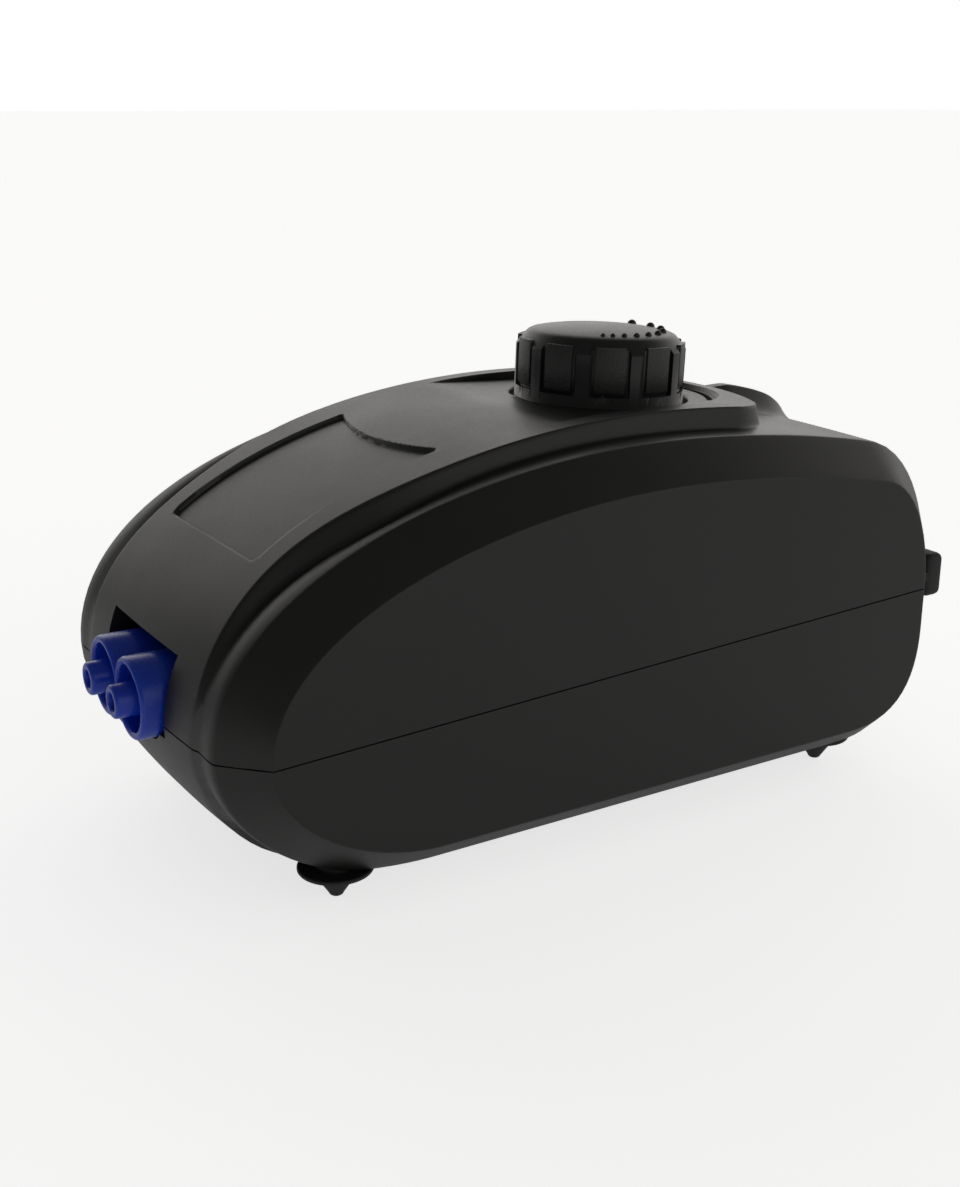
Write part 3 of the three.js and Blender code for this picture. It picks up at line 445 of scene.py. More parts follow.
plastics = {
    "housing": dict(colour=rgb(0.0125, 0.012, 0.0115), worn=rgb(0.022, 0.021, 0.02), rough=0.4, spread=0.12,
                    grain=1500, mottle=0.45, bump=0.12, depth=0.05),
    "knob": dict(colour=rgb(0.009, 0.009, 0.0088), worn=rgb(0.04, 0.04, 0.039), rough=0.4, spread=0.15,
                 grain=2200, mottle=0.2, bump=0.35, depth=0.05, coarse=1.0),
    "outlet": dict(colour=rgb(0.008, 0.05, 0.56), worn=rgb(0.012, 0.075, 0.64), rough=0.27, spread=0.1,
                   grain=900, mottle=0.5, bump=0.08, depth=0.03),
    "rubber": dict(colour=rgb(0.012, 0.012, 0.0125), worn=rgb(0.03, 0.03, 0.03), rough=0.6, spread=0.15,
                   grain=1800, mottle=0.5, bump=0.3, depth=0.06),
    "soft_rubber": dict(colour=rgb(0.03, 0.03, 0.03), worn=rgb(0.05, 0.05, 0.05), rough=0.7, spread=0.15,
                        grain=1500, mottle=0.5, bump=0.3, depth=0.06),
    "nylon": dict(colour=rgb(0.75, 0.73, 0.66), worn=rgb(0.66, 0.63, 0.55), rough=0.45, spread=0.1,
                  grain=1200, mottle=0.6, bump=0.12, depth=0.04),
    "board": dict(colour=rgb(0.3, 0.14, 0.05), worn=rgb(0.4, 0.22, 0.09), rough=0.55, spread=0.1,
                  grain=1400, mottle=0.7, bump=0.15, depth=0.04),
    "clear": dict(colour=rgb(0.68, 0.74, 0.75), worn=rgb(0.74, 0.78, 0.76), rough=0.3, spread=0.08,
                  grain=700, mottle=0.5, bump=0.05, depth=0.03),
    "felt": dict(colour=rgb(0.85, 0.83, 0.77), worn=rgb(0.7, 0.67, 0.6), rough=0.95, spread=0.05,
                 grain=900, mottle=0.8, bump=0.9, depth=0.3),
    "magnet": dict(colour=rgb(0.1, 0.1, 0.11), worn=rgb(0.16, 0.16, 0.17), rough=0.5, spread=0.2,
                   grain=1600, mottle=0.6, bump=0.4, depth=0.06),
}
metals = {
    "steel": dict(colour=rgb(0.55, 0.56, 0.57), tarnish=rgb(0.4, 0.4, 0.4), rough=0.32, streaks=900),
    "core": dict(colour=rgb(0.18, 0.18, 0.19), tarnish=rgb(0.1, 0.09, 0.085), rough=0.45, streaks=1200),
    "copper": dict(colour=rgb(0.55, 0.22, 0.09), tarnish=rgb(0.38, 0.13, 0.05), rough=0.35, streaks=2500),
}


def makeFinishes():
    made = {}
    for name, p in plastics.items():
        made[name] = makeMaterial(name, mouldedSkin, {
            "Colour": p["colour"], "Worn Colour": p["worn"], "Roughness": p["rough"],
            "Roughness Spread": p["spread"], "Grain Scale": p["grain"], "Mottle": p["mottle"],
            "Coarse Grain": p.get("coarse", 0.0),
        }, p["bump"], p["depth"])
    for name, m in metals.items():
        made[name] = makeMaterial(name, drawnMetal, {
            "Colour": m["colour"], "Tarnish": m["tarnish"], "Roughness": m["rough"],
            "Streak Scale": m["streaks"],
        }, 0.15, 0.03, metallic=1.0)
    return made


# Housing: form
housing = {
    "wall": 2.2,
    "bandRise": 6.0,  # the slanted band grows this far past the side panel
    "bandDepth": 6.5,
    "noseDepth": 7.2,  # the band reaches further in round the front
    "panelTop": 59.8,
    "panelBottom": 9.2,
    "baseHeight": 5.5,
    "partingHeight": 30.8,
    "partingSlope": 0.0436,
    "seamGap": 0.25,
    "shoulderRound": 0.8,
    "creaseRound": 0.5,
    "crownTop": 0.35,
    "crownFront": 1.3,
    "cell": 1.8,  # spacing of the coarse mesh
    "tongue": (0.75, 0.9),  # inset from both faces of the wall, and height
}
deck = {
    "half": 24.5,
    "waist": 3.0,
    "waistX": -53.0,
    "waistSpread": 17.0,
    "rise": 3.2,
    "backX": 41.5,
    "backBow": 0.0135,
    "corner": 4.5,
    "wall": 1.3,
    "flare": 1.7,  # the wall is this much wider where it sweeps down at the front
    "flareX": -45.0,
    "flareSpread": 14.0,
    "rearFlare": 0.9,  # and at its rear end
    "valley": 1.2,
    "valleyX": -48.0,
    "valleySpread": 20.0,
    "valleyWidth": 4.0,
}
label = {"half": 16.8, "frontX": -56.0, "reach": 45.0, "corner": 1.2, "depth": 0.75, "wall": 0.3}
platform = {"half": 21.0, "startX": -13.0, "wall": 0.35}
lug = {"half": 7.5, "ridge": 1.2, "startX": 38.8, "length": 21.8, "rise": 4.3}
groove = {"radius": 19.8, "half": 0.55, "depth": 1.1, "span": 37.0}  # an arc behind the knob
well = {"radius": 15.9, "depth": 1.2, "hole": 4.4, "lip": 0.35}
tilt = math.tan(math.asin(knobAxis.x))


def bezier(a, b, c, d):
    t = np.linspace(0, 1, 120, endpoint=False)[:, None]
    a, b, c, d = (np.array(p, float) for p in (a, b, c, d))
    return (1 - t) ** 3 * a + 3 * (1 - t) ** 2 * t * b + 3 * (1 - t) * t**2 * c + t**3 * d


def straight(a, b):
    t = np.linspace(0, 1, 60, endpoint=False)[:, None]
    return (1 - t) * np.array(a, float) + t * np.array(b, float)


def makeOutline():
    # The side panel's outline in side view, from under the middle round the front, over and back.
    nose = -halfLength + housing["bandRise"]
    tail = halfLength - housing["bandRise"]
    top, bottom = housing["panelTop"], housing["panelBottom"]
    points = np.vstack([
        straight((10, bottom), (nose + 28, bottom)),
        bezier((nose + 28, bottom), (nose + 13.5, bottom), (nose, 18.3), (nose, 28)),
        bezier((nose, 28), (nose, 48), (nose + 35, top), (nose + 70, top)),
        bezier((nose + 70, top), (tail - 43, top), (tail - 26, top - 1.9), (tail - 11, top - 5)),
        bezier((tail - 11, top - 5), (tail - 4.4, top - 6.4), (tail, top - 15.8), (tail, top - 25.8)),
        straight((tail, top - 25.8), (tail, 26)),
        bezier((tail, 26), (tail, 12), (tail - 8, bottom), (tail - 16, bottom)),
        straight((tail - 16, bottom), (10, bottom)),
        [(10, bottom)],
    ])
    steps = np.hypot(*np.diff(points, axis=0).T)
    along = np.concatenate([[0], np.cumsum(steps)])
    mid = (along[:-1] + along[1:]) / 2
    angle = np.unwrap(np.arctan2(*np.diff(points, axis=0).T[::-1]))
    return {"along": along, "x": points[:, 0], "z": points[:, 1], "mid": mid, "angle": angle,
            "length": along[-1]}


outline = makeOutline()


def outlineAt(s):
    x = np.interp(s, outline["along"], outline["x"])
    z = np.interp(s, outline["along"], outline["z"])
    angle = np.interp(s, outline["mid"], outline["angle"])
    return x, z, -np.sin(angle), np.cos(angle)


def ramp(u, ease=0.25):
    # From 0 to 1 along a straight slope with rounded ends.
    u = np.clip(u, 0, 1)
    slope = 1 / (1 - ease)
    low = slope * u * u / (2 * ease)
    high = 1 - slope * (1 - u) ** 2 / (2 * ease)
    return np.where(u < ease, low, np.where(u > 1 - ease, high, slope * (u - ease / 2)))


def roundedMax(a, b, radius):
    # Joins two distances into the distance of a shape with round corners.
    a, b = a + radius, b + radius
    inside = np.minimum(np.maximum(a, b), 0)
    return inside + np.hypot(np.maximum(a, 0), np.maximum(b, 0)) - radius


def bell(x, centre, spread):
    return np.exp(-(((x - centre) / spread) ** 2))


def deckDistance(x, y):
    half = deck["half"] - deck["waist"] * bell(x, deck["waistX"], deck["waistSpread"])
    back = x - (deck["backX"] - deck["backBow"] * y * y)
    return roundedMax(np.abs(y) - half, back, deck["corner"])


def deckWall(x):
    return (deck["wall"] + deck["flare"] * bell(x, deck["flareX"], deck["flareSpread"])
            + deck["rearFlare"] * ramp((x - 32) / 8))


def labelDistance(x, y):
    fromKnob = np.hypot(x - knobX, y)
    ends = np.maximum(label["frontX"] - x, label["reach"] - fromKnob)
    return roundedMax(np.abs(y) - label["half"], ends, label["corner"])


def platformDistance(x, y):
    fromKnob = np.hypot(x - knobX, y)
    return np.where(x > knobX, fromKnob, np.abs(y)) - platform["half"]


def topHeight(x, y, z, nx, nz):
    # Height of the top's features over the plain form, along its normal.
    share = np.clip(1 - (y / 31) ** 2, 0, 1)
    front, top = housing["crownFront"], housing["crownTop"]
    crown = (front + (top - front) * np.clip(nz, 0, 1)) * share
    away, wall = deckDistance(x, y), deckWall(x)
    valley = deck["valley"] * bell(x, deck["valleyX"], deck["valleySpread"])
    rise = deck["rise"] * np.clip(1 + nx, 0, 2)
    onDeck = (rise + valley) * (1 - ramp(away / wall)) - valley
    outside = -valley * (1 - ramp((away - wall) / deck["valleyWidth"], 0.5))
    height = np.where(away < wall, onDeck, outside)
    past = np.clip((x - lug["startX"]) / lug["length"], 0, 1)
    aside = np.clip((np.abs(y) - lug["ridge"]) / (lug["half"] - lug["ridge"]), 0, 1)
    lugRise = lug["rise"] * (0.75 + 0.25 * ramp((x - lug["startX"] - 1) / 7))
    onLug = lugRise * np.sqrt(1 - past**4) * (1 - aside) ** 2
    height = np.where(x > lug["startX"], np.maximum(height, onLug), height)
    height = height + crown
    height = height - label["depth"] * (1 - ramp(labelDistance(x, y) / label["wall"] + 1))
    plane = knobPlace.z / mm - tilt * (x - knobX)
    over = np.clip((z + height * nz - plane) / np.maximum(nz, 0.3), 0, 3)
    inPlatform = (1 - ramp(platformDistance(x, y) / platform["wall"] + 1)) * (x > platform["startX"] - 8)
    return height - over * inPlatform * (away < 0)


def roundCorner(before, corner, after, radius, count):
    before, corner, after = (np.array(p, float) for p in (before, corner, after))
    a = (before - corner) / np.linalg.norm(before - corner)
    b = (after - corner) / np.linalg.norm(after - corner)
    half = math.acos(float(np.clip(a @ b, -1, 1))) / 2
    reach = radius / math.tan(half)
    start, end = corner + a * reach, corner + b * reach
    t = np.linspace(0, 1, count + 1)[:, None]
    return (1 - t) ** 2 * start + 2 * (1 - t) * t * corner + t**2 * end


def acrossSection(inset):
    # Half of the cross-section, from the middle of the top to just inside the side panel, as
    # (distance from the middle, growth past the panel's outline).
    rise, reach = housing["bandRise"], halfWidth - housing["bandDepth"]
    slant = math.atan2(rise, housing["bandDepth"])
    if not inset:
        shoulder, crease, end = (reach, rise), (halfWidth, 0), (halfWidth, -0.9)
        columns, rounds = 18, (housing["shoulderRound"], housing["creaseRound"])
    else:
        shoulder = (reach - inset * math.tan(slant / 2), rise - inset)
        crease = (halfWidth - inset, -inset * math.tan((math.pi / 2 - slant) / 2))
        end = (halfWidth - inset, crease[1] - 0.6)
        columns, rounds = 8, (0.4, 0.4)
    first = roundCorner((0, shoulder[1]), shoulder, crease, rounds[0], 4 if not inset else 1)
    second = roundCorner(shoulder, crease, end, rounds[1], 4 if not inset else 1)
    top = np.array([(u * first[0][0], shoulder[1]) for u in np.linspace(0, 1, columns, endpoint=False)])
    steps = np.linspace(0, 1, 5 if not inset else 2, endpoint=False)[1:, None]
    band = first[-1] + (second[0] - first[-1]) * steps
    return np.vstack([top, first, band, second, [end]])


def wrapPoints(flat, section, inset):
    # Wraps flat (along, across) points round the outline.
    s, t = flat[:, 0], flat[:, 1]
    reach = np.concatenate([[0], np.cumsum(np.hypot(*np.diff(section, axis=0).T))])
    across = np.interp(np.abs(t), reach, section[:, 0])
    growth = np.interp(np.abs(t), reach, section[:, 1])
    x, z, nx, nz = outlineAt(s)
    shoulder = halfWidth - housing["bandDepth"]
    nose = (housing["noseDepth"] - housing["bandDepth"]) * np.clip(-nx, 0, 1) ** 2
    pull = np.where(across < shoulder, across / shoulder, (halfWidth - across) / housing["bandDepth"])
    y = np.sign(t) * (across - nose * pull)
    if not inset:
        growth = growth + topHeight(x + growth * nx, y, z + growth * nz, nx, nz) * (across < shoulder - 0.2)
    return np.stack([x + growth * nx + middle, y, z + growth * nz], axis=1) * mm


def nearFeature(flat, margin):
    s, y = flat[:, 0], flat[:, 1]
    x, z, nx, nz = outlineAt(s)
    x, z = x + housing["bandRise"] * nx, z + housing["bandRise"] * nz
    onTop = (np.abs(y) < halfWidth - housing["bandDepth"] - 1) & (z > housing["partingHeight"] + 4)
    away, wall = deckDistance(x, y), deckWall(x)
    edge = (away > -margin) & (away < wall + margin)
    edge |= np.abs(labelDistance(x, y) + label["wall"] / 2) < margin
    edge |= (np.abs(platformDistance(x, y)) < margin) & (x > platform["startX"] + 4) & (away < 0)
    edge |= (np.abs(y) < lug["half"] + margin) & (x > 38) & (x < lug["startX"] + lug["length"] + margin)
    return edge & onTop


def makeSkin(name, inset, levels):
    # A grid as long as the outline and as wide as the cross-section, refined along the features and
    # wrapped round, with the side panels filled in.
    section = acrossSection(inset)
    reach = np.concatenate([[0], np.cumsum(np.hypot(*np.diff(section, axis=0).T))])
    across = np.concatenate([-reach[:0:-1], reach])
    count = round(outline["length"] / (housing["cell"] if not inset else 3.0))
    leaveEdit()
    bpy.ops.object.select_all(action="DESELECT")
    bpy.ops.mesh.primitive_grid_add(x_subdivisions=count, y_subdivisions=len(across) - 1, size=2)
    skin = startPiece(name)
    flat = np.empty(len(skin.data.vertices) * 3)
    skin.data.vertices.foreach_get("co", flat)
    flat = flat.reshape(-1, 3)
    flat[:, 0] = (flat[:, 0] + 1) / 2 * outline["length"]
    flat[:, 1] = across[np.rint((flat[:, 1] + 1) / 2 * (len(across) - 1)).astype(int)]
    skin.data.vertices.foreach_set("co", flat.ravel())
    skin.data.update()
    for margin in levels:
        openEdit(skin)
        bpy.ops.object.mode_set(mode="OBJECT")
        centres = np.empty(len(skin.data.polygons) * 3)
        skin.data.polygons.foreach_get("center", centres)
        skin.data.polygons.foreach_set("select", nearFeature(centres.reshape(-1, 3), margin))
        bpy.ops.object.mode_set(mode="EDIT")
        bpy.ops.mesh.subdivide(number_cuts=1)
        bpy.ops.object.mode_set(mode="OBJECT")
    flat = np.empty(len(skin.data.vertices) * 3)
    skin.data.vertices.foreach_get("co", flat)
    wrapped = wrapPoints(flat.reshape(-1, 3), section, inset)
    skin.data.vertices.foreach_set("co", wrapped.ravel())
    skin.data.update()
    openEdit(skin)
    bpy.ops.mesh.select_all(action="SELECT")
    bpy.ops.mesh.remove_doubles(threshold=0.00001)
    bpy.ops.mesh.select_all(action="SELECT")
    bpy.ops.mesh.fill_holes(sides=0)
    bpy.ops.mesh.select_all(action="SELECT")
    bpy.ops.mesh.normals_make_consistent(inside=False)
    bpy.ops.object.mode_set(mode="OBJECT")
    return skin


def cutHalf(skin, above, baseHeight):
    slope = Vector((-housing["partingSlope"], 0, 1)).normalized()
    shift = housing["seamGap"] / 2 * (1 if above else -1)
    openEdit(skin)
    bpy.ops.mesh.select_all(action="SELECT")
    bpy.ops.mesh.bisect(plane_co=atPump(0, 0, housing["partingHeight"] + shift), plane_no=slope,
                        clear_inner=above, clear_outer=not above)
    if not above:
        bpy.ops.mesh.select_all(action="SELECT")
        bpy.ops.mesh.bisect(plane_co=atPump(0, 0, baseHeight), plane_no=(0, 0, 1), use_fill=True,
                            clear_inner=True)
    bpy.ops.object.mode_set(mode="OBJECT")


def makeShell(name, outerSkin, innerSkin, above):
    shell = copyOf(outerSkin, name)
    lining = copyOf(innerSkin, name + "Lining")
    cutHalf(shell, above, housing["baseHeight"])
    cutHalf(lining, above, housing["baseHeight"] + housing["wall"])
    openEdit(lining)
    bpy.ops.mesh.select_all(action="SELECT")
    bpy.ops.mesh.flip_normals()
    makeActive(shell, lining)
    bpy.ops.object.join()
    openEdit(shell, "EDGE")
    bpy.ops.mesh.select_non_manifold(use_wire=False, use_multi_face=False, use_non_contiguous=False,
                                     use_verts=False)
    bpy.ops.mesh.bridge_edge_loops()
    bpy.ops.object.mode_set(mode="OBJECT")
    return shell


def addTongue(shell, above):
    # A tongue on the lower half's rim, and the groove for it in the upper half's.
    slope = Vector((-housing["partingSlope"], 0, 1)).normalized()
    facing = -slope if above else slope
    start = atPump(0, 0, housing["partingHeight"])
    pickFaces(shell, lambda c, n: n.dot(facing) > 0.99 and abs((c - start).dot(slope)) < 0.4 * mm)
    inset, height = housing["tongue"]
    trim = -0.1 if above else 0
    bpy.ops.mesh.inset(thickness=(inset + trim) * mm, use_boundary=True)
    rise = -(height + 0.1) if above else height
    bpy.ops.mesh.extrude_region_move(TRANSFORM_OT_translate={"value": facing * rise * mm})
    bpy.ops.object.mode_set(mode="OBJECT")


setCamera()
lightStudio()
finish = makeFinishes()
print("studio and finishes made")

outerSkin = makeSkin("outerSkin", 0, (1.6, 0.9, 0.5))
print("outer skin", len(outerSkin.data.polygons), "faces")
innerSkin = makeSkin("innerSkin", housing["wall"], ())
upper = makeShell("upperHousing", outerSkin, innerSkin, True)
lower = makeShell("lowerHousing", outerSkin, innerSkin, False)
core = outerSkin  # the closed skin, drawn in a little, trims what stands inside
middleOfCore = Matrix.Translation(atPump(0, 0, 35))
placeMesh(core, middleOfCore @ Matrix.Scale(0.985, 4) @ middleOfCore.inverted())
bpy.data.objects.remove(innerSkin)
addTongue(upper, True)
addTongue(lower, False)
print("shells", len(upper.data.polygons), len(lower.data.polygons), "faces")


# Housing: inside features and openings
outlet = {"spacing": 11.5, "cup": 13.2, "height": 30.3}
pocket = {"half": 13.0, "flare": 1.0, "low": 25.6, "high": 38.9, "backX": -64.2, "wall": 1.0}
foot = {"x": 50.0, "y": 27.1, "stub": 3.6, "stubTop": 12.8, "column": 4.2, "pad": (6.2, 3.5), "shank": 2.0,
        "pilot": 1.65}
bay = {"x": -4.0, "half": (13.2, 11.2), "top": 10.5, "wall": 1.6, "slots": 7, "pitch": 3.4,
       "slotHalf": (0.8, 8), "slotTop": 14}
bush = {"y": -24.0, "z": 31.5, "half": 4.2, "insideX": 64.3, "tipX": 79.4, "bore": 2.5}
inside = {"pivotX": -54.0, "pumpX": -15.0, "coreX": 33.0, "armY": 18.8, "pumpZ": 27.5, "pumpRadius": 15.5,
          "chamber": (24.2, 30.2), "cradleHalf": 12, "cradleTop": 6, "post": (4, 18.2, 19)}
socket = {"half": (7, 6), "top": 24.5, "bore": 3.7, "floor": 16.2, "slotHalf": 2, "slotLow": 19.5}
corners = [(i * foot["x"], j * foot["y"]) for i in (-1, 1) for j in (-1, 1)]


def addInsideFeatures(core):
    # The walls, columns, sockets and cradles inside, trimmed to the skin.
    b = pocket["wall"]
    half, base = pocket["half"] + pocket["flare"] + b, housing["baseHeight"] + 0.4
    blocks = [addBlock("pocketWalls", (-75, -half, pocket["low"] - b),
                       (pocket["backX"] + b, half, pocket["high"] + b))]
    blocks += [addRod("column", foot["column"], base, 66, x, y) for x, y in corners]
    radius, tall = foot["pad"]
    blocks += [addRod("footPad", radius, base, base + tall, x, y, 48) for x, y in corners]
    x, w = bay["x"], bay["wall"]
    blocks.append(addBlock("bayWalls", (x - bay["half"][0] - w, -bay["half"][1] - w, base),
                           (x + bay["half"][0] + w, bay["half"][1] + w, bay["top"] + w)))
    for side in (-1, 1):
        y, x = side * inside["armY"], inside["pivotX"]
        long, wide = socket["half"]
        holder = addBlock("socket", (x - long, y - wide, base), (x + long, y + wide, socket["top"]))
        carve(holder, addRod("socketBore", socket["bore"], socket["floor"], 30, x, y))
        carve(holder, addBlock("socketSlot", (x, y - socket["slotHalf"], socket["slotLow"]),
                               (x + long + 1, y + socket["slotHalf"], 30)))
        near, far = sorted((side * (inside["chamber"][0] + 0.5), side * (inside["chamber"][1] - 0.5)))
        x = inside["pumpX"]
        cradle = addBlock("cradle", (x - inside["cradleHalf"], near, base),
                          (x + inside["cradleHalf"], far, inside["pumpZ"] - inside["cradleTop"]))
        room = inside["pumpRadius"] + 0.3
        tool = addTurned("cradleTool", [(room, -40), (room, 40)], 64)
        place = Matrix.Translation(atPump(x, 0, inside["pumpZ"]))
        placeMesh(tool, place @ Matrix.Rotation(math.pi / 2, 4, "X"))
        carve(cradle, tool)
        radius, tall, apart = inside["post"]
        blocks += [holder, cradle, addRod("post", radius, base, tall, inside["coreX"] + side * apart, 0)]
    features = joinPieces(*blocks)
    features.name = "insideFeatures"
    applyModifier(features, "BOOLEAN", operation="INTERSECT", solver="EXACT", use_self=True, object=core)
    bpy.data.objects.remove(core)
    return features


def addFeatures(shell, features, above):
    half = copyOf(features, shell.name + "Features")
    cutHalf(half, above, housing["baseHeight"])
    openEdit(half)
    bpy.ops.mesh.select_all(action="SELECT")
    bpy.ops.mesh.fill_holes(sides=0)
    bpy.ops.object.mode_set(mode="OBJECT")
    carve(shell, half, "UNION")


def cutPocket(shell):
    # A pocket for the outlets, with a back wall that the two cups come through.
    tool = addBlock("pocketTool", (-80, -pocket["half"], pocket["low"]),
                    (pocket["backX"], pocket["half"], pocket["high"]))
    pickFaces(tool, lambda c, n: n.z > 0.9)
    bpy.ops.transform.resize(value=(1, (pocket["half"] + pocket["flare"]) / pocket["half"], 1),
                             center_override=atPump(0, 0, pocket["high"]))
    bpy.ops.object.mode_set(mode="OBJECT")
    carve(shell, tool)
    for side in (-1, 1):
        hole = addTurned("cupHole", [(outlet["cup"] / 2 + 0.3, 60), (outlet["cup"] / 2 + 0.3, 80)], 64)
        placeMesh(hole, outletPlace(side))
        carve(shell, hole)


def outletPlace(side):
    # Heights along the piece run forwards, out of the housing.
    return (Matrix.Translation(atPump(0, side * outlet["spacing"] / 2, outlet["height"]))
            @ Matrix.Rotation(-math.pi / 2, 4, "Y"))


def cutBushSeat(shell):
    grow = bush["half"] + 0.3
    carve(shell, addBlock("seatTool", (bush["insideX"] - 0.3, bush["y"] - grow, bush["z"] - grow),
                          (75, bush["y"] + grow, bush["z"] + grow)))


def cutUnderside(shell):
    for x, y in corners:
        carve(shell, addRod("stubBore", foot["stub"] + 0.1, 0, foot["stubTop"], x, y, 48))
        carve(shell, addRod("shankBore", foot["shank"], 10, 40, x, y, 24))
    x = bay["x"]
    carve(shell, addBlock("bayTool", (x - bay["half"][0], -bay["half"][1], 0),
                          (x + bay["half"][0], bay["half"][1], bay["top"])))
    carve(shell, slotTool())


def slotTool():
    middleSlot = (bay["slots"] - 1) / 2
    bars = [bay["x"] + (i - middleSlot) * bay["pitch"] for i in range(bay["slots"])]
    thin, long = bay["slotHalf"]
    return joinPieces(*[addBlock("slotTool", (x - thin, -long, 0), (x + thin, long, bay["slotTop"]))
                        for x in bars])


def cutKnobWell(shell):
    tool = addTurned("wellTool", [(well["radius"], -well["depth"]), (well["radius"], -0.25),
                                  (well["radius"] + well["lip"], 0.1),
                                  (well["radius"] + well["lip"], 12)], 128)
    placeMesh(tool, knobLean)
    carve(shell, tool)
    tool = addTurned("holeTool", [(well["hole"], -20), (well["hole"], 2)], 48)
    placeMesh(tool, knobLean)
    carve(shell, tool)


def cutGroove(shell):
    low, high = -groove["depth"], 6
    near, far = groove["radius"] - groove["half"], groove["radius"] + groove["half"]
    tool = addTurned("grooveTool", [(near, low), (far, low), (far, high), (near, high), (near, low)], 320)
    trimRing(tool, lambda c, n: abs(math.degrees(math.atan2(c.y, c.x))) > groove["span"])
    placeMesh(tool, knobLean)
    carve(shell, tool)
    for side in (-1, 1):
        turn = Matrix.Rotation(side * math.radians(groove["span"]), 4, "Z")
        end = addTurned("grooveEnd", [(groove["half"], low), (groove["half"], high)], 24)
        placeMesh(end, knobLean @ turn @ Matrix.Translation((groove["radius"] * mm, 0, 0)))
        carve(shell, end)


knobLean = Matrix.Translation(knobPlace) @ Matrix.Rotation(math.asin(knobAxis.x), 4, "Y")
features = addInsideFeatures(core)
addFeatures(upper, features, True)
addFeatures(lower, features, False)
bpy.data.objects.remove(features)
print("inside features made")
cutKnobWell(upper)
cutGroove(upper)
for shell in (upper, lower):
    cutPocket(shell)
    cutBushSeat(shell)
cutUnderside(lower)
for x, y in corners:
    carve(upper, addRod("pilotTool", foot["pilot"], 20, 36, x, y, 24))
for shell in (upper, lower):
    smooth(shell, 55)
finishPiece(upper, "root", "housing", finish["housing"], "upper_housing")
finishPiece(lower, "root", "housing", finish["housing"], "lower_housing")
print("housing made")


# Knob
knob = {
    "outside": [(14.7, -0.6), (15.0, -0.3), (15.0, 8.8), (13.3, 10.8), (13.0, 11.1), (12.4, 11.38),
                (11.4, 11.6), (9.5, 11.9), (7.0, 12.15), (4.0, 12.33), (1.5, 12.39), (0.3, 12.4)],
    "panels": 10,
    "firstPanel": 24.75,  # degrees round from +X
    "panel": {"width": 27.0, "radius": 14.3, "low": 1.7},
    "fields": [{"width": 24.75, "radius": 14.48, "low": 2.1, "high": 9.7},
               {"width": 20.25, "radius": 14.78, "low": 2.5, "high": 10.05}],
    "fieldInside": 13.2,
    "under": (5.2, 12.4, 8.4),  # the hollow's inner and outer radius, and its top
    "boss": 5.4,
    "bore": (3.15, 9.1),
    "dots": 10,
    "firstDot": -125.0,
    "dotSteps": (9.0, 24.0),  # the arc's dots grow and spread out
    "dotCircle": 10.7,
    "dotHeight": 11.68,
    "dotRadius": (0.42, 0.82),
}


def addSectors(name, inner, outer, low, high, width):
    # The parts of a ring that lie over the panels.
    ring = addTurned(name, [(inner, low), (outer, low), (outer, high), (inner, high), (inner, low)], 320)
    step = 360 / knob["panels"]

    def between(centre, normal):
        angle = math.degrees(math.atan2(centre.y, centre.x)) - knob["firstPanel"]
        return abs((angle + step / 2) % step - step / 2) > width / 2

    trimRing(ring, between)
    return ring


def makeKnob():
    piece = addTurned("knob", knob["outside"], 160)
    panel = knob["panel"]
    carve(piece, addSectors("panelTool", panel["radius"], 16, panel["low"], 12, panel["width"]))
    near, far, top = knob["under"]
    carve(piece, addTurned("underTool", [(near, -1), (far, -1), (far, top), (near, top), (near, -1)], 96))
    carve(piece, addTurned("bossTool", [(knob["boss"], -1), (knob["boss"], 1)], 64))
    radius, top = knob["bore"]
    carve(piece, addTurned("boreTool", [(radius, -1), (radius, top)], 48))
    relief = [addSectors("field", knob["fieldInside"], field["radius"], field["low"], field["high"],
                         field["width"]) for field in knob["fields"]]
    for part in (piece, *relief):
        bevelEdges(part, 0.07, 2, 25)
    inner = relief[-1].data
    grained = inner.attributes.new("grained", "FLOAT", "POINT")
    grained.data.foreach_set("value", np.ones(len(inner.vertices), np.float32))
    first, last = knob["dotSteps"]
    angle = knob["firstDot"]
    for i in range(knob["dots"]):
        size = np.interp(i, (0, knob["dots"] - 1), knob["dotRadius"])
        turn = Matrix.Rotation(math.radians(angle), 3, "Z")
        place = turn @ Vector((knob["dotCircle"], 0, knob["dotHeight"])) * mm
        leaveEdit()
        bpy.ops.mesh.primitive_uv_sphere_add(segments=20, ring_count=12, radius=size * mm, location=place)
        relief.append(startPiece("dot"))
        bpy.ops.object.transform_apply(location=True)
        angle += first + (last - first) * i / (knob["dots"] - 2)
    joinPieces(piece, *relief)
    smooth(piece, 28)
    placeMesh(piece, knobLean)
    return finishPiece(piece, "knob_group", "knob", finish["knob"], "knob")


makeKnob()
print("knob made")


# Outlets
outlet["profile"] = [
    (0.8, 55.3), (1.5, 55.3), (1.5, 61.3), (6.6, 61.3), (6.6, 73.3), (6.52, 73.65), (6.3, 73.9), (6.0, 74.0),
    (5.8, 74.0), (5.5, 73.9), (5.35, 73.7), (5.3, 73.3), (5.3, 67.5), (5.15, 67.15), (4.8, 67.0), (3.2, 67.0),
    (2.85, 67.15), (2.7, 67.5), (2.7, 76.1), (2.62, 76.38), (2.4, 76.57), (2.1, 76.6), (1.75, 76.6),
    (1.58, 76.5), (1.5, 76.3), (1.5, 62.5), (0.8, 61.8), (0.8, 55.3)]
outlet["plate"] = {"x": (-62.9, -61.3), "half": 12.35, "z": (23.7, 38.1)}


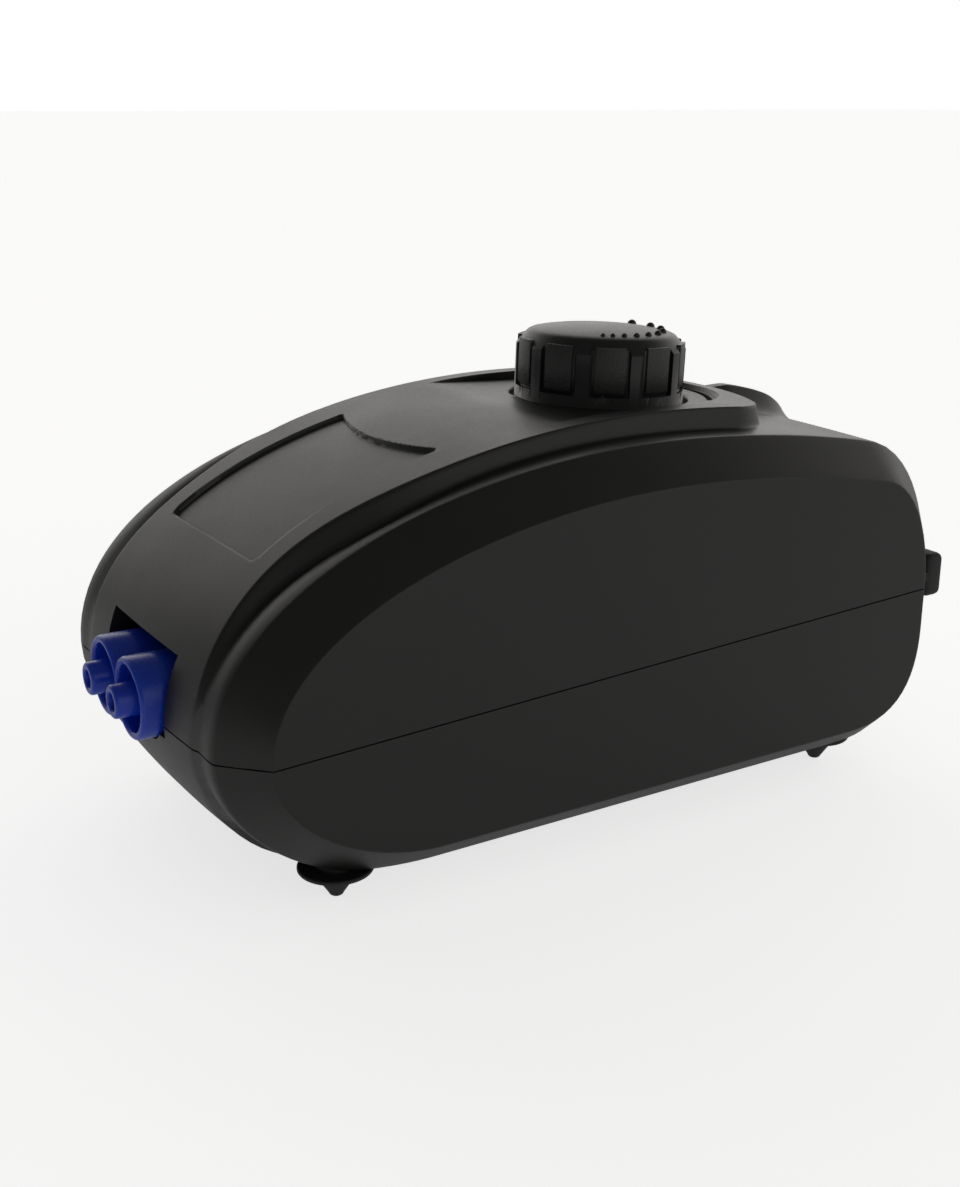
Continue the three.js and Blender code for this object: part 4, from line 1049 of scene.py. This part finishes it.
def makeOutlets():
    cups = []
    for side in (-1, 1):
        cup = addTurned("outlet", outlet["profile"], 64)
        placeMesh(cup, outletPlace(side))
        cups.append(cup)
    piece = cups[0]
    carve(piece, cups[1], "UNION")
    plate = outlet["plate"]
    carve(piece, addBlock("outletPlate", (plate["x"][0], -plate["half"], plate["z"][0]),
                          (plate["x"][1], plate["half"], plate["z"][1])), "UNION")
    for side in (-1, 1):
        bore = addTurned("boreTool", [(0.78, 50), (0.78, 70)], 24)
        room = addTurned("roomTool", [(2.72, 67.6), (5.28, 67.6), (5.28, 75), (2.72, 75), (2.72, 67.6)], 64)
        for tool in (bore, room):
            placeMesh(tool, outletPlace(side))
            carve(piece, tool)
    smooth(piece, 40)
    return finishPiece(piece, "root", "outlet", finish["outlet"], "outlet_nozzle")


makeOutlets()
print("outlets made")


# Feet
foot["profile"] = [(0.45, 0), (0.85, 0.06), (1.1, 0.25), (1.25, 0.55), (3.6, 4.15), (3.75, 4.35), (4.1, 4.45),
                   (5.7, 4.5), (5.9, 4.55), (6.0, 4.7), (6.0, 5.05), (5.85, 5.2), (3.3, 5.2), (3.3, 8.1),
                   (3.0, 8.5)]


def makeFeet():
    first = addTurned("foot", foot["profile"], 64)
    smooth(first, 40)
    for number, (x, y) in enumerate(corners, 1):
        piece = copyOf(first, f"foot{number}")
        placeMesh(piece, Matrix.Translation(atPump(x, y, 0)))
        finishPiece(piece, "root", "rubber", finish["rubber"], f"foot_{number}")
    bpy.data.objects.remove(first)


makeFeet()


# Cord bush
bush["blocks"] = [  # x from, x to, half width, half height, rounding
    (bush["insideX"], 67.5, bush["half"], bush["half"], 0.3), (66.0, 71.5, 3.4, 3.6, 0.2),
    (70.8, 72.9, bush["half"], bush["half"], 0.45), (72.0, 76.0, 4.1, 0.9, 0.2),
    (74.9, bush["tipX"], bush["half"], bush["half"], 1.3)]


def makeBush():
    y, z = bush["y"], bush["z"]
    piece = None
    for low, high, wide, tall, rounding in bush["blocks"]:
        block = addBlock("cordBush", (low, y - wide, z - tall), (high, y + wide, z + tall))
        bevelEdges(block, rounding, 4)
        if piece:
            carve(piece, block, "UNION")
        else:
            piece = block
    bore = addTurned("boreTool", [(bush["bore"], 60), (bush["bore"], 85)], 48)
    placeMesh(bore, Matrix.Translation(atPump(0, y, z)) @ Matrix.Rotation(math.pi / 2, 4, "Y"))
    carve(piece, bore)
    bevelEdges(piece, 0.15, 2, 50)
    smooth(piece, 35)
    return finishPiece(piece, "root", "rubber", finish["rubber"], "cord_bush")


makeBush()


# Filter cover
def makeFilterCover():
    x, (long, wide) = bay["x"], bay["half"]
    piece = addBlock("filterCover", (x - long + 0.4, -wide + 0.4, 5.5), (x + long - 0.4, wide - 0.4, 7.1))
    carve(piece, slotTool())
    carve(piece, addBlock("pullTool", (x + long - 3, -3, 4), (x + long + 1, 3, 6.3)))
    bevelEdges(piece, 0.25, 2)
    smooth(piece, 35)
    return finishPiece(piece, "root", "housing", finish["housing"], "filter_cover")


makeFilterCover()


# Diaphragms
diaphragm = {
    "profile": [(2.3, 19.9), (6.0, 19.9), (6.5, 20.3), (6.9, 21.0), (8.0, 21.6), (9.4, 21.9), (10.6, 22.4),
                (11.6, 22.7), (15.5, 22.7), (15.5, 23.9), (11.2, 23.9), (10.2, 23.5), (9.0, 22.95),
                (7.6, 22.6),
                (6.6, 22.5), (5.9, 22.8), (5.4, 22.9), (2.3, 22.9), (2.3, 19.9)],
    "clamped": 23.6,
    "free": 21.6,
}


def makeDiaphragms():
    for hand, side in (("left", 1), ("right", -1)):
        piece = addTurned(f"diaphragm{hand.title()}", diaphragm["profile"], 64)
        place = Matrix.Translation(atPump(inside["pumpX"], 0, inside["pumpZ"]))
        placeMesh(piece, place @ Matrix.Rotation(-side * math.pi / 2, 4, "X"))
        smooth(piece, 50)
        piece.data.materials.clear()
        piece.data.materials.append(finish["soft_rubber"])
        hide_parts(f"diaphragm_{hand}")
        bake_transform(piece)


makeDiaphragms()
print("feet, bush, filter cover and diaphragms made")


# Carried-over nodes
slotOf = {part["node"]: part["material_slot"] for part in frame["record"]["subparts"]}
for name, node in frame["nodes"].items():
    node.data.materials.clear()
    node.data.materials.append(finish[slotOf[name]])


def addFloor():
    leaveEdit()
    bpy.ops.object.select_all(action="DESELECT")
    bpy.ops.mesh.primitive_plane_add(size=studio["floorSize"])
    floor = startPiece("floor")
    paper = bpy.data.materials.new("floor")
    paper.use_nodes = True
    shader = paper.node_tree.nodes["Principled BSDF"]
    shader.inputs["Base Color"].default_value = studio["floorColour"]
    shader.inputs["Roughness"].default_value = 0.9
    shader.inputs["Specular IOR Level"].default_value = 0
    shader.inputs["Emission Color"].default_value = (1, 1, 1, 1)
    path = paper.node_tree.nodes.new("ShaderNodeLightPath")
    glow = paper.node_tree.nodes.new("ShaderNodeMath")
    glow.operation = "MULTIPLY_ADD"
    glow.inputs[1].default_value = studio["floorGlow"] - studio["floorBounce"]
    glow.inputs[2].default_value = studio["floorBounce"]
    paper.node_tree.links.new(path.outputs["Is Camera Ray"], glow.inputs[0])
    paper.node_tree.links.new(glow.outputs[0], shader.inputs["Emission Strength"])
    floor.data.materials.append(paper)


addFloor()
